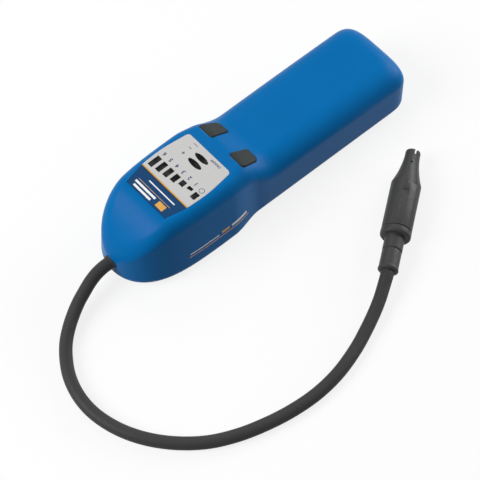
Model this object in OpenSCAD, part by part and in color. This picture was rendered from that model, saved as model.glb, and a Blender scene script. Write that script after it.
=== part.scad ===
// Handheld refrigerant leak detector: two-part moulded body with a display head and a handle,
// a gooseneck from the nose, and a sampling probe at its far end. Millimetres, +Z up, back on z = 0.

/* [Body] */
// Length of the body from nose to tail
body_l = 229; // [225:1:245]
// Width across the head
head_w = 64.2; // [60:0.2:68]
// Width of the handle just behind the head
neck_w = 56.4; // [54:0.2:60]
// Width of the handle at its tail
tail_w = 59; // [56:0.1:64]
// Height of the head's flat top
head_h = 54; // [52:0.1:60]
// Height of the handle just behind the button slope
handle_h = 43.5; // [41:0.1:45]
// Height of the handle at its tail
tail_h = 40.3; // [39:0.1:43]
// Height of the top line where it reaches the nose
nose_h = 26.4; // [24:0.1:28]
// Length over which the head's top falls to the nose
nose_run = 33; // [28:0.5:34]
// Width of the rounding along the head's top edge
head_round = 7.5; // [6:0.1:9]
// Height of that rounding down the head's flanks
head_drop = 12; // [9:0.5:15]
// Distance that the head's flanks lean in on their way up to that rounding
head_lean = 3.2; // [1:0.1:4]
// Rounding of the handle's top edge
handle_round = 14.3; // [10:0.1:15]
// Rounding of the bottom edge
base_round = 8.8; // [8.3:0.1:10]
// Wall thickness of the two shells
wall = 2.4; // [2:0.1:3]
// Height of the joint between the two shells
parting_h = 7; // [6.4:0.1:8]

/* [Button slope] */
// Distance from the nose to the start of the slope
slope_t = 89.8; // [89:0.1:94]
// Length of the slope along the body
slope_run = 21; // [20:0.5:24]
// Length of the rounding at each end of the slope
slope_fillet = 4; // [2:0.5:5]
// Gap between a button and its opening
button_gap = 0.35; // [0.3:0.05:0.6]
// Height of a button above the slope
button_proud = 0.9; // [0.6:0.1:2]
// Travel of a button
button_travel = 1.2; // [0.6:0.1:1.4]

/* [Face] */
// Thickness of the printed film
film_t = 0.5; // [0.3:0.05:0.8]
// Depth of the recess that the film lies in
film_recess = 0.35; // [0.1:0.05:0.5]
// Distance from the nose to the film's front edge
film_front = 30.5; // [30:0.1:33]
// Distance from the nose to the film's rear edge
film_rear = 82.3; // [81:0.1:85]
// Width of one bar window
bar_w = 3.5; // [2.5:0.1:4]
// Spacing of the bar windows
bar_pitch = 5.9; // [5.5:0.1:6]
// Length of an oval window
oval_l = 11.4; // [8:0.1:12]
// Width of an oval window
oval_w = 4; // [3:0.1:4.6]

/* [Electronics] */
// Thickness of the circuit boards
board_t = 1.6; // [1:0.1:2]
// Depth of the main board's top below the inner roof
board_drop = 9.3; // [8.5:0.1:11]
// Diameter of all screw shanks
screw_d = 2.8; // [2:0.1:3]
// Diameter of all screw heads
screw_head_d = 5.2; // [4.4:0.1:5.6]
// Height of all screw heads
screw_head_h = 1.9; // [1.2:0.1:2.2]

/* [Power] */
// Diameter of a cell
cell_d = 14.5; // [13.5:0.1:14.6]
// Length of a cell without its cap
cell_l = 49.5; // [44:0.5:50]
// Gap between the battery door and its opening
door_gap = 0.4; // [0.3:0.05:0.6]

/* [Gooseneck and probe] */
// Diameter of the gooseneck
neck_d = 8; // [7:0.1:9]
// Height of the gooseneck where it leaves the nose
exit_z = 15; // [14.5:0.1:16]
// Diameter of the anchor in the nose bore
anchor_d = 9.8; // [9.4:0.1:10.6]
// Diameter of the sleeve on the gooseneck's end
sleeve_d = 12.5; // [11:0.1:13]
// Length of that sleeve
sleeve_l = 14.8; // [10:0.1:20]
// Diameter of the collar behind the nozzle
collar_d = 19.7; // [19.5:0.1:22]
// Length of that collar
collar_l = 5.3; // [4:0.1:8]
// Diameter of the nozzle's barrel
barrel_d = 19.4; // [17:0.1:19.4]
// Length of the nozzle's barrel
barrel_l = 34.9; // [28:0.1:40]
// Length of the nozzle's taper with its crown
taper_l = 26; // [20:0.5:32]
// Diameter of the nozzle's tip
tip_d = 9.8; // [8:0.1:11]
// Direction of the probe, seen from above
probe_angle = 36; // [30:1:42]

/* [Hidden] */
$fn = 48;

// Fits: a running fit, a loose fit between fixed pieces, and a cut's overshoot
run_fit = 0.05;
loose_fit = 0.15;
over = 1;

// Plan outline: nose length and fullness, neck, and the tail's rounded corners
nose_l = 102.5;
nose_fullness = 5.45;
nose_power = 1.8;
crown_power = 1.6;
neck_from = 74.8;
neck_to = 98.3;
tail_corner = 19.5;
tail_fullness = 3.85;
neck_blend = 10;

// Slope: its rate, angle and mid point
slope_rate = (head_h - handle_h)/(slope_run - slope_fillet);
slope_angle = atan(slope_rate);
slope_to = slope_t + slope_run;
slope_mid = [at(slope_t + slope_run/2), 0, (head_h + handle_h)/2];
slope_skin = wall*cos(slope_angle);

// Place along the body, from the distance to the nose
function at(t) = t - body_l/2;

function clamp01(v) = min(max(v, 0), 1);
function ease(v) = let(c = clamp01(v)) c*c*(3 - 2*c);

// Edge rounding of the top, from the head's to the handle's: its width, its height and the lean below it
function neck_share(t) = ease((t - neck_from)/(neck_to + neck_blend - neck_from));
function round_at(t) = head_round + (handle_round - head_round)*neck_share(t);
function drop_at(t) = head_drop + (handle_round - head_drop)*neck_share(t);
function lean_at(t) = head_lean*(1 - neck_share(t));

// Distance run down the slope, with a parabola at each end
function slope_fall(u) =
    u <= 0 ? 0 :
    u < slope_fillet ? u*u/(2*slope_fillet) :
    u < slope_run - slope_fillet ? u - slope_fillet/2 :
    u < slope_run ? slope_run - slope_fillet - pow(slope_run - u, 2)/(2*slope_fillet) :
    slope_run - slope_fillet;

// Height of the top line
function top_z(t) =
    head_h - slope_rate*slope_fall(t - slope_t)
    - (handle_h - tail_h)*pow(clamp01((t - slope_to)/(body_l - slope_to)), crown_power)
    - (head_h - nose_h)*pow(clamp01(1 - t/nose_run), nose_power);

// Half width of the outline drawn in by d, and by dn at the nose and dt at the tail
function plan_half(t, dn, dt, d) =
    let(side = head_w/2 - d + (neck_w - head_w)/2*ease((t - neck_from)/(neck_to - neck_from))
            + (tail_w - neck_w)/2*clamp01((t - neck_to)/(body_l - neck_to)),
        nose = clamp01(1 - (t - dn)/(nose_l - dn)),
        tail = clamp01(1 - (body_l - dt - t)/max(tail_corner - 0.6*dt, 3)))
    side*sqrt(1 - pow(nose, nose_fullness))*pow(1 - pow(tail, tail_fullness), 1/tail_fullness);

// Height of the outer skin of the top at one place
function skin_z(t, y) =
    let(r = round_at(t), in = max(plan_half(t, 0, 0, 0) - lean_at(t) - abs(y), 0))
    top_z(t) - (in >= r ? 0 : drop_at(t)*(1 - sqrt(1 - pow(1 - in/r, 2))));

// Stations from nose to tail: close at the nose, on the slope and at the tail
nose_steps = 9;
head_steps = 5;
slope_steps = 12;
handle_steps = 5;
tail_steps = 8;
slope_lead = 4;
tail_zone = 1.2*tail_corner;
head_end = slope_t - slope_lead;
slope_end = slope_to + slope_lead;
stations = concat(
    [for (i = [0:nose_steps - 1]) nose_run*pow(i/nose_steps, 2)],
    [for (i = [0:head_steps - 1]) nose_run + (head_end - nose_run)*i/head_steps],
    [for (i = [0:slope_steps - 1]) head_end + (slope_end - head_end)*i/slope_steps],
    [for (i = [0:handle_steps - 1]) slope_end + (body_l - tail_zone - slope_end)*i/handle_steps],
    [for (i = [0:tail_steps]) body_l - tail_zone*pow(1 - i/tail_steps, 2)]);
last = len(stations) - 1;

// One closed level of a shell from its half outline
function mirrored(half) = concat(half, [for (i = [last - 1:-1:1]) [half[i][0], -half[i][1], half[i][2]]]);
function end_free(i, y) = i == 0 || i == last ? 0 : y;

// A level at one height, drawn in by d
function flat_level(d, z) = mirrored([for (i = [0:last])
    let(t = d + (body_l - 2*d)*stations[i]/body_l)
    [at(t), end_free(i, plan_half(t, d, d, d)), z]]);

// A level on the top edge's rounding at angle a, for a skin offset inwards
function top_level(offset, a) =
    let(c = 1 - cos(a), s = 1 - sin(a),
        dn = offset + (head_round - offset)*c,
        dt = offset + (handle_round - offset)*c)
    mirrored([for (i = [0:last])
        let(t = dn + (body_l - dn - dt)*stations[i]/body_l,
            y = plan_half(t, dn, dt, offset + lean_at(t) + (round_at(t) - offset)*c))
        [at(t), end_free(i, y), top_z(t) - offset - (drop_at(t) - offset)*s]]);

// A level on the bottom edge's rounding at angle a
function base_level(offset, a) =
    let(r = base_round - offset)
    flat_level(offset + r*(1 - cos(a)), base_round + r*sin(a));

// Angle on the bottom rounding where a skin meets the parting plane
function parting_angle(offset) = asin((parting_h - base_round)/(base_round - offset));

top_angles = [0:18:90];
base_angles = [-90, -65, -40];

// Closed solid through levels of equal count, with strips across its two ends
module loft(levels) {
    n = len(levels[0]);
    half = n/2;
    strip = concat([[0, 1, n - 1]],
        [for (i = [1:half - 2]) [i, i + 1, n - i - 1, n - i]],
        [[half - 1, half, half + 1]]);
    top = n*(len(levels) - 1);
    polyhedron(
        points = [for (l = levels) each l],
        faces = concat(
            [for (f = strip) [for (k = [len(f) - 1:-1:0]) f[k]]],
            [for (l = [0:len(levels) - 2], i = [0:n - 1])
                [l*n + i, l*n + (i + 1)%n, (l + 1)*n + (i + 1)%n, (l + 1)*n + i]],
            [for (f = strip) [for (k = f) k + top]]),
        convexity = 8);
}

// Outline with each corner [x, y, r] rounded
function unit(v) = v/norm(v);
function corner(a, p, b, r, steps) =
    let(u = unit(a - p), v = unit(b - p), h = acos(u*v)/2,
        c = p + unit(u + v)*r/sin(h),
        d0 = unit(p + u*r/tan(h) - c), d1 = unit(p + v*r/tan(h) - c))
    [for (k = [0:steps]) c + r*unit(d0 + (d1 - d0)*k/steps)];
function xy(p) = [p[0], p[1]];
function rounded(pts, steps = 5) =
    let(n = len(pts))
    [for (i = [0:n - 1])
        each corner(xy(pts[(i + n - 1)%n]), xy(pts[i]), xy(pts[(i + 1)%n]), pts[i][2], steps)];
function box_outline(x0, x1, y0, y1, r) = rounded([[x0, y0, r], [x1, y0, r], [x1, y1, r], [x0, y1, r]]);

// Tube of diameter d swept along route points
function tangent(p, i) = unit(p[min(i + 1, len(p) - 1)] - p[max(i - 1, 0)]);
function tube_ring(p, i, d, sides) =
    let(t = tangent(p, i), s = unit(cross(abs(t[2]) > 0.9 ? [0, 1, 0] : [0, 0, 1], t)), n = cross(t, s))
    [for (k = [0:sides - 1]) p[i] + d/2*(cos(360*k/sides)*s + sin(360*k/sides)*n)];
module tube(p, d, sides) {
    rings = len(p);
    polyhedron(
        points = [for (i = [0:rings - 1]) each tube_ring(p, i, d, sides)],
        faces = concat(
            [[for (k = [0:sides - 1]) k]],
            [for (i = [0:rings - 2], k = [0:sides - 1])
                [i*sides + k, (i + 1)*sides + k, (i + 1)*sides + (k + 1)%sides]],
            [for (i = [0:rings - 2], k = [0:sides - 1])
                [i*sides + k, (i + 1)*sides + (k + 1)%sides, i*sides + (k + 1)%sides]],
            [[for (k = [sides - 1:-1:0]) (rings - 1)*sides + k]]),
        convexity = 6);
}

// A cylinder along +X, and a box between two corners
module rod(x0, x1, d, y = 0, z = 0) {
    translate([x0, y, z]) rotate([0, 90, 0]) cylinder(d = d, h = x1 - x0);
}
module block(lo, hi) {
    translate(lo) cube(hi - lo);
}
// A screw with its head on z = 0 and its shank upwards
module screw(shank) {
    translate([0, 0, -screw_head_h]) cylinder(d = screw_head_d, h = screw_head_h);
    cylinder(d = screw_d, h = shank);
}

// Case screws: places, bosses and seats
boss_d = 7;
case_screw_y = 14;
case_screw_at = [[26, 1], [26, -1], [body_l - 16, 1], [body_l - 16, -1]];
seat_depth = 3;
case_pilot = 12;
function case_xy(s) = [at(s[0]), s[1]*case_screw_y];
function boss_top(t) = skin_z(min(t - boss_d/2, body_l), case_screw_y + boss_d/2) - wall/2;

// Main board: place, bosses
roof_z = head_h - wall;
board_z = roof_z - board_drop;
board_t0 = 34;
board_t1 = 82.5;
board_w = 39;
board_boss_d = 5.6;
board_inset = 4.2;
board_screw_at = [for (t = [board_t0 + board_inset, board_t1 - board_inset], s = [-1, 1])
    [at(t), s*(board_w/2 - board_inset)]];
board_pilot = 6;

// Film: outline and windows, with the bars' rear ends in line
film_z = head_h - film_recess;
film_gap = 0.1;
film_y = 0.5;
film_sides = [[film_front, 17.9, 0.8], [46, 21.4, 40], [62, 22.1, 90], [film_rear, 19.6, 2.6]];
film_outline = rounded(concat([for (p = film_sides) [at(p[0]), film_y - p[1], p[2]]],
    [for (i = [3:-1:0]) [at(film_sides[i][0]), film_y + film_sides[i][1], film_sides[i][2]]]));
bar_rear = 57.4;
bar_first = 18.1;
bar_lengths = [8.4, 7.5, 6.8, 5.8, 4, 2.4, 4.8];
oval_at = [70, 75.6];
oval_y = 0.5;
lens_margin = 1.2;
lens_rim = 1.3;
lens_rim_t = 1.1;
bar_lens_x = [at(bar_rear - max(bar_lengths) - lens_margin), at(bar_rear + lens_margin)];
bar_lens_y = bar_first + bar_w/2 + 0.2;
mode_lens_x = [at(oval_at[0] - oval_w/2 - lens_margin), at(oval_at[1] + oval_w/2 + lens_margin)];
mode_lens_y = oval_l/2 + lens_margin + oval_y;

// Buttons: outline on the slope, [down the slope, away from the middle, corner]
button_corners = [[-11, 8.1, 1.6], [-11, 20.9, 2.4], [5.2, 19.1, 3.4], [5.2, 8.7, 2]];
button_roll = 7;
button_roll_from = 11;
button_crest = 0.4;
tab_t = 1.2;
tab_w = 1.4;
inner_tab = [-7, 3];
rear_tab = [11, 14];
stem_d = 4;
stem_at = [-2.5, 14];
stem_l = 2.4;
tab_top = -(slope_skin + button_gap);
cap_foot = tab_top - tab_t;
stem_end = cap_foot - stem_l;

// Switches under the buttons, on a board parallel to the slope
plunger_d = 3.4;
plunger_in = 2.6;
switch_w = 6.2;
switch_floor = 0.6;
switch_top = stem_end - button_travel - button_gap;
plunger_foot = switch_top - plunger_in;
switch_foot = plunger_foot - button_travel - button_gap - switch_floor;
key_board_x = [-9, 6];
key_board_y = 20;
key_boss_at = [-6, 3.2];
key_boss_d = 5.4;
key_pilot = 5;

// Controller chip under the main board, and the gas path below it
chip_w = 12;
chip_t = 1.6;
chip_at = 63;
cell_clear = 2.8;
cell_t0 = 42;
cell_t1 = 84;
cell_w = 18;
cell_h = 14;
cell_z0 = board_z - board_t - chip_t - cell_clear - cell_h;
lens_y = -3.5;
lamp_d = 7;
lamp_l = 7;
detector_d = 9;
detector_l = 5;
gas_d = 5;
port_z = cell_z0 + 9;
port_t = [62, 78];
stub_run = 5;

// Pump across the handle behind the keys, on its own axis with the pump head at the negative end
pump_t = 106;
pump_foot = 6;
pump_head_l = 12;
pump_head_w = 22;
motor_d = 18;
motor_l = 20;
motor_boss_l = 1.5;
motor_z = pump_foot + pump_head_w/2;
pump_x0 = -17;
pump_x1 = pump_x0 + pump_head_l;
pump_port_x = pump_x0 + pump_head_l/2;
pump_port_up = 5;
pump_port_l = 6;
pump_port = [at(pump_t) - pump_head_w/2, -pump_port_x, motor_z + pump_port_up];
cradle_t = 4;
cradle_w = 24;
cradle_at = 6;
clamp_t = 1.6;
clamp_gap = 0.1;
post_t = 4;
post_w = 14;
post_at = [48, 80];

// Battery bay, measured from the tail
bay_tail = 23;
bay_end = body_l - bay_tail;
bay_wall = 1.6;
bay_side = 0.9;
contact_t = 0.8;
contact_reach = 3.75;
stud_d = 5;
contact_rim = 5;
cap_l = 1;
cap_d = 5.5;
cell_gap = 0.2;
cell_lift = 0.95;
rib_gap = 0.3;
bay_l = cell_l + cap_l + 2*contact_reach;
bay_start = bay_end - bay_l;
bay_w = 2*cell_d + cell_gap + 2*bay_side;
cell_foot = wall + cell_lift;
layer_z = [cell_foot + cell_d/2, cell_foot + 1.5*cell_d + cell_gap];
bay_top = cell_foot + 2*cell_d + cell_gap + rib_gap;
cells_x = [at(bay_start + contact_reach), at(bay_end - contact_reach)];
row_y = (cell_d + cell_gap)/2;
sill = 2.9;
door_lip = 0.4;
door_x = [at(bay_start + sill), at(bay_end - sill)];
door_w = bay_w - 2*door_lip;

// Door: its front edge is rounded about a pin on each side, which turns in the floor beside the opening
pivot_z = wall/2;
pivot_x = door_x[0] + door_gap + pivot_z;
pin_d = 1.6;
pin_l = 1.6;
rib_h = cell_lift - rib_gap;
rib_t = 1.2;
rib_inset = 5;
groove_d = 1.2;
groove_l = 14;
groove_pitch = 2.4;
groove_inset = 6;

// Nose bore, anchor and its grub screw
nose_boss_d = 15;
nose_boss = [2.4, 14];
anchor_out = 1.2;
anchor_flange = [14, 16];
anchor_flange_d = 13.5;
spigot_d = 4;
spigot_end = 23;
grub_d = 3;
grub_t = 8;

// Probe, measured along its axis from the gooseneck's end
air_d = 3;
probe_z = collar_d/2;
probe_entry = [at(127.6), -114.9, probe_z];
probe_dir = [cos(probe_angle), sin(probe_angle), 0];
lip_h = 0.5;
lip_l = 1.4;
neck_front = sleeve_l + 7.2;
collar_front = neck_front + collar_l;
nozzle_gap = 0.3;
nozzle_back = collar_front + nozzle_gap;
nozzle_shoulder = nozzle_back + barrel_l;
nozzle_end = nozzle_shoulder + taper_l;
stub_d = 10.6;
stub_l = 9;
stub_front = collar_front + stub_l;
seal_d = 1.5;
seal_room = 1.6;
filter_d = 12.8;
filter_l = 3.6;
filter_back = stub_front + 0.8;
channel_d = 4.5;
mouth_d = 5.6;
taper_power = 1.8;
taper_steps = 10;
crown_l = 2.5;
slot_w = 1.7;
slot_l = 3.4;
flute_d = 5;
flute_depth = 1;
flute_turn = 105;

// Route of the gooseneck: straight out of the nose, down to the surface, round in a loop, up to the probe
straight_out = 5;
loop_z = neck_d/2;
falling = [[-12.5, -0.6, 14.2], [-18.5, -2, 13], [-24.5, -4, 11.4], [-31, -6.4, 9.6], [-38, -9.9, 7.8],
    [-45.5, -14.6, 6.1], [-53, -20.8, 4.8]];
looped = [[-59.5, -28.6], [-66, -39.6], [-70, -52], [-71.2, -65], [-69.5, -77.6], [-65, -91], [-57.5, -104.2],
    [-46.5, -117.2], [-32.5, -128.6], [-16.5, -136.8], [0.5, -142.4], [18.5, -146.2], [37.5, -147.7],
    [56.5, -146], [75.5, -141]];
rising = [[90.5, -135.2, 4.6], [102.5, -129.9, 5.9], [110.5, -125.8, 7.2], [117.5, -121.6, 8.5]];
neck_route = concat(
    [[at(-anchor_out), 0, exit_z], [at(-anchor_out - straight_out), 0, exit_z]],
    [for (p = falling) [at(p[0]), p[1], p[2]]],
    [for (p = looped) [at(p[0]), p[1], loop_z]],
    [for (p = rising) [at(p[0]), p[1], p[2]]],
    [probe_entry - straight_out*probe_dir, probe_entry]);

// Routes of the inner tubes, each leaving its port square
// Inlet bends: distance before its port, out from the cell's side, up from the cell's foot
inlet_bends = [[26, -5, -6.3], [18, 1, -3.3], [10, 5.5, 1.7], [4, 7, 6]];
inlet_route = concat(
    [[at(spigot_end), 0, exit_z], [at(spigot_end + stub_run), 0, exit_z]],
    [for (b = inlet_bends) [at(port_t[0] - b[0]), cell_w/2 + b[1], cell_z0 + b[2]]],
    [[at(port_t[0]), cell_w/2 + stub_run, port_z], [at(port_t[0]), cell_w/2, port_z]]);
outlet_route = [[at(port_t[1]), cell_w/2, port_z], [at(port_t[1]), cell_w/2 + stub_run, port_z],
    [at(port_t[1] + 5), cell_w/2 + 6.8, port_z - 2.5],
    [at(port_t[1] + 10), cell_w/2 + 5, (port_z + pump_port[2])/2 - 2],
    pump_port - [stub_run, 0, 0], pump_port];

module on_slope() {
    translate(slope_mid) rotate([0, slope_angle, 0]) children();
}
module on_pump() {
    translate([at(pump_t), 0, motor_z]) rotate([0, 0, -90]) children();
}
module on_probe() {
    translate(probe_entry) rotate([0, 0, probe_angle]) children();
}
module turned(profile) {
    rotate([0, 90, 0]) rotate_extrude() polygon(profile);
}

// Button outline on its side of the slope, grown by a margin
module button_outline(side, grow) {
    corners = [for (p = button_corners)
        [p[0] + (p[0] < 0 ? -grow : grow), side*(p[1] + (p[1] < 14 ? -grow : grow)), p[2] + grow/2]];
    polygon(rounded(side > 0 ? corners : [for (i = [3:-1:0]) corners[i]]));
}

module upper_housing() {
    color([0.05, 0.42, 0.68]) difference() {
        union() {
            loft(concat(
                [for (i = [5:-1:0]) top_level(wall, 18*i)],
                [flat_level(wall, base_round), base_level(wall, parting_angle(wall))],
                [base_level(0, parting_angle(0)), flat_level(0, base_round)],
                [for (a = top_angles) top_level(0, a)]));
            for (s = case_screw_at) translate([each case_xy(s), parting_h])
                cylinder(d = boss_d, h = boss_top(s[0]) - parting_h);
            for (p = board_screw_at) translate([each p, board_z])
                cylinder(d = board_boss_d, h = roof_z + wall/2 - board_z);
            on_slope() for (x = key_boss_at) translate([x, 0, switch_foot])
                cylinder(d = key_boss_d, h = -slope_skin/2 - switch_foot);
            rod(at(nose_boss[0]), at(nose_boss[1]), nose_boss_d, 0, exit_z);
        }
        translate([0, 0, film_z]) linear_extrude(film_recess + over) polygon(film_outline);
        block([bar_lens_x[0] - loose_fit, -bar_lens_y - loose_fit, roof_z - over],
            [bar_lens_x[1] + loose_fit, bar_lens_y + loose_fit, head_h + over]);
        block([mode_lens_x[0] - loose_fit, -mode_lens_y - loose_fit, roof_z - over],
            [mode_lens_x[1] + loose_fit, mode_lens_y + loose_fit, head_h + over]);
        on_slope() for (side = [-1, 1]) translate([0, 0, -slope_skin - 4])
            linear_extrude(slope_skin + 8) button_outline(side, button_gap);
        for (s = case_screw_at) translate([each case_xy(s), parting_h - over])
            cylinder(d = screw_d + 2*run_fit, h = case_pilot + over);
        for (p = board_screw_at) translate([each p, board_z - over])
            cylinder(d = screw_d + 2*run_fit, h = board_pilot + over);
        on_slope() for (x = key_boss_at) translate([x, 0, switch_foot - over])
            cylinder(d = screw_d + 2*run_fit, h = key_pilot + over);
        rod(at(-over), at(nose_boss[1] + over), anchor_d + 2*run_fit, 0, exit_z);
        translate([at(grub_t), 0, parting_h - over]) cylinder(d = grub_d + 2*run_fit, h = exit_z - parting_h);
    }
}

module lower_housing() {
    color([0.05, 0.36, 0.62]) difference() {
        union() {
            loft(concat(
                [for (a = base_angles) base_level(0, a)],
                [base_level(0, parting_angle(0)), base_level(wall, parting_angle(wall))],
                [for (i = [2:-1:0]) base_level(wall, base_angles[i])]));
            for (s = case_screw_at) translate([each case_xy(s), 0]) cylinder(d = boss_d, h = parting_h);
            block([at(bay_start - bay_wall), -bay_w/2 - bay_wall, 0],
                [at(bay_end + bay_wall), bay_w/2 + bay_wall, bay_top + bay_wall]);
            for (t = post_at)
                block([at(t - post_t/2), -post_w/2, wall/2], [at(t + post_t/2), post_w/2, cell_z0]);
            on_pump() {
                block([pump_x0, -pump_head_w/2, wall/2 - motor_z],
                    [pump_x1, pump_head_w/2, pump_foot - motor_z]);
                block([cradle_at - cradle_t/2, -cradle_w/2, wall/2 - motor_z],
                    [cradle_at + cradle_t/2, cradle_w/2, 0]);
            }
        }
        block([at(bay_start), -bay_w/2, wall], [at(bay_end), bay_w/2, bay_top]);
        block([door_x[0], -door_w/2, -over], [door_x[1], door_w/2, wall + over]);
        translate([pivot_x, 0, pivot_z]) rotate([90, 0, 0])
            cylinder(d = pin_d + 2*run_fit, h = door_w + 2*(pin_l + loose_fit), center = true);
        for (s = case_screw_at) translate([each case_xy(s), -over]) {
            cylinder(d = screw_d + 4*loose_fit, h = parting_h + 2*over);
            cylinder(d = screw_head_d + 4*loose_fit, h = seat_depth + over);
        }
        on_pump() rod(cradle_at - cradle_t, cradle_at + cradle_t, motor_d + 2*run_fit);
    }
}

module battery_door() {
    x1 = door_x[1] - door_gap;
    half = door_w/2 - door_gap;
    color([0.05, 0.36, 0.62]) difference() {
        union() {
            block([pivot_x, -half, 0], [x1, half, wall]);
            translate([pivot_x, 0, pivot_z]) rotate([90, 0, 0]) {
                cylinder(d = wall, h = 2*half, center = true);
                cylinder(d = pin_d, h = 2*(half + door_gap + pin_l - loose_fit), center = true);
            }
            for (s = [-1, 1]) block([pivot_x + rib_inset, s*row_y - rib_t/2, wall/2],
                [x1 - rib_inset, s*row_y + rib_t/2, wall + rib_h]);
        }
        for (i = [0:3]) translate([x1 - groove_inset - groove_pitch*i, 0, 0]) rotate([90, 0, 0])
            cylinder(d = groove_d, h = groove_l, center = true);
    }
}

module housing_screws() {
    color([0.3, 0.3, 0.32]) for (s = case_screw_at) translate([each case_xy(s), seat_depth])
        screw(parting_h - seat_depth + case_pilot - 1);
}

module oval(x, y) {
    polygon([for (a = [0:15:345]) [x + oval_w/2*cos(a), y + oval_l/2*sin(a)]]);
}
module face_label() {
    color([0.8, 0.8, 0.8]) translate([0, 0, film_z]) linear_extrude(film_t) difference() {
        offset_film();
        for (i = [0:len(bar_lengths) - 1])
            translate([at(bar_rear - bar_lengths[i]), bar_first - bar_pitch*i - bar_w/2])
                square([bar_lengths[i], bar_w]);
        for (t = oval_at) oval(at(t), oval_y);
    }
}
// The film's outline with a small gap to its recess
module offset_film() {
    polygon([for (p = film_outline) let(c = [at((film_front + film_rear)/2), 0]) p - film_gap*unit(p - c)]);
}

module lens(x, y) {
    color([0.1, 0.1, 0.11]) {
        block([x[0], -y, roof_z - loose_fit/2], [x[1], y, film_z]);
        block([x[0] - lens_rim, -y, roof_z - lens_rim_t], [x[1] + lens_rim, y, roof_z]);
    }
}
module bar_lens() {
    lens(bar_lens_x, bar_lens_y);
}
module mode_lens() {
    lens(mode_lens_x, mode_lens_y);
}

// A key cap whose top leans outwards with the crown of the body and levels off at the head's ridge,
// two tabs that keep it in, and a stem
module button(side) {
    inner = button_corners[0][1];
    rear = button_corners[2][0];
    inner_y = [side*(inner - tab_w), side*(inner + tab_w)];
    color([0.26, 0.28, 0.29]) {
        difference() {
            on_slope() translate([0, 0, cap_foot]) linear_extrude(button_proud - cap_foot)
                button_outline(side, 0);
            on_slope() translate([0, side*button_roll_from, button_proud]) rotate([-side*button_roll, 0, 0])
                block([-head_w/2, min(0, side*head_w/2), 0], [head_w/2, max(0, side*head_w/2), head_w/2]);
            block([at(0), -head_w/2, head_h + button_crest], [at(slope_to), head_w/2, 2*head_h]);
        }
        on_slope() {
            block([inner_tab[0], min(inner_y), cap_foot], [inner_tab[1], max(inner_y), tab_top]);
            block([rear - tab_w, min(side*rear_tab), cap_foot], [rear + tab_w, max(side*rear_tab), tab_top]);
            translate([stem_at[0], side*stem_at[1], stem_end]) cylinder(d = stem_d, h = stem_l + over);
        }
    }
}
module plunger(side) {
    color([0.85, 0.85, 0.8]) on_slope() translate([stem_at[0], side*stem_at[1], plunger_foot])
        cylinder(d = plunger_d, h = stem_end - plunger_foot);
}
module switch_body(side) {
    color([0.12, 0.12, 0.12]) on_slope() translate([stem_at[0], side*stem_at[1], 0]) difference() {
        block([-switch_w/2, -switch_w/2, switch_foot], [switch_w/2, switch_w/2, switch_top]);
        translate([0, 0, switch_foot + switch_floor])
            cylinder(d = plunger_d + 2*run_fit, h = switch_top - switch_foot);
    }
}
module power_button() {
    button(-1);
}
module mode_button() {
    button(1);
}
module power_plunger() {
    plunger(-1);
}
module mode_plunger() {
    plunger(1);
}
module power_switch() {
    switch_body(-1);
}
module mode_switch() {
    switch_body(1);
}

module key_board() {
    color([0.05, 0.3, 0.15]) on_slope() difference() {
        translate([0, 0, switch_foot - board_t]) linear_extrude(board_t)
            polygon(box_outline(key_board_x[0], key_board_x[1], -key_board_y, key_board_y, 2));
        for (x = key_boss_at) translate([x, 0, switch_foot - board_t - over])
            cylinder(d = screw_d + 2*loose_fit, h = board_t + 2*over);
    }
}
module key_board_screws() {
    color([0.7, 0.7, 0.72]) on_slope() for (x = key_boss_at) translate([x, 0, switch_foot - board_t])
        screw(board_t + key_pilot - 1);
}

module main_board() {
    color([0.05, 0.3, 0.15]) difference() {
        translate([0, 0, board_z - board_t]) linear_extrude(board_t)
            polygon(box_outline(at(board_t0), at(board_t1), -board_w/2, board_w/2, 2));
        for (p = board_screw_at) translate([each p, board_z - board_t - over])
            cylinder(d = screw_d + 2*loose_fit, h = board_t + 2*over);
    }
}
module board_screws() {
    color([0.7, 0.7, 0.72]) for (p = board_screw_at) translate([each p, board_z - board_t])
        screw(board_t + board_pilot - 1);
}
led_top = roof_z - lens_rim_t - loose_fit;
module led_bar() {
    color([0.9, 0.9, 0.88]) block([bar_lens_x[0] + 0.5, -bar_lens_y, board_z],
        [bar_lens_x[1] - 0.5, bar_lens_y, led_top]);
}
module mode_leds() {
    color([0.3, 0.7, 0.35]) for (t = oval_at) translate([at(t), oval_y, board_z])
        cylinder(d = oval_w, h = led_top - board_z);
}
module controller_chip() {
    color([0.08, 0.08, 0.08]) block([at(chip_at) - chip_w/2, -chip_w/2, board_z - board_t - chip_t],
        [at(chip_at) + chip_w/2, chip_w/2, board_z - board_t]);
}
buzzer_d = 10;
buzzer_h = 6;
module buzzer() {
    color([0.1, 0.1, 0.1]) translate([at(board_t0 + 1.5 + buzzer_d/2), 0, board_z]) difference() {
        cylinder(d = buzzer_d, h = buzzer_h);
        translate([0, 0, buzzer_h - 2]) cylinder(d = 2, h = 2 + over);
    }
}

module inlet_tube() {
    color([0.85, 0.85, 0.8]) tube(inlet_route, gas_d, 8);
}
module outlet_tube() {
    color([0.85, 0.85, 0.8]) tube(outlet_route, gas_d, 8);
}
module sensor_cell() {
    color([0.75, 0.76, 0.78]) difference() {
        block([at(cell_t0), -cell_w/2, cell_z0], [at(cell_t1), cell_w/2, cell_z0 + cell_h]);
        rod(at(cell_t0 - over), at(cell_t1 + over), lamp_d - 1, lens_y, cell_z0 + cell_h/2);
        for (t = port_t) translate([at(t), lens_y, port_z]) rotate([-90, 0, 0])
            cylinder(d = air_d, h = cell_w);
    }
}
module infrared_lamp() {
    color([0.85, 0.7, 0.35]) rod(at(cell_t0 - lamp_l), at(cell_t0), lamp_d, lens_y, cell_z0 + cell_h/2);
}
module infrared_detector() {
    color([0.8, 0.75, 0.5])
        rod(at(cell_t1), at(cell_t1 + detector_l), detector_d, lens_y, cell_z0 + cell_h/2);
}
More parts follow.
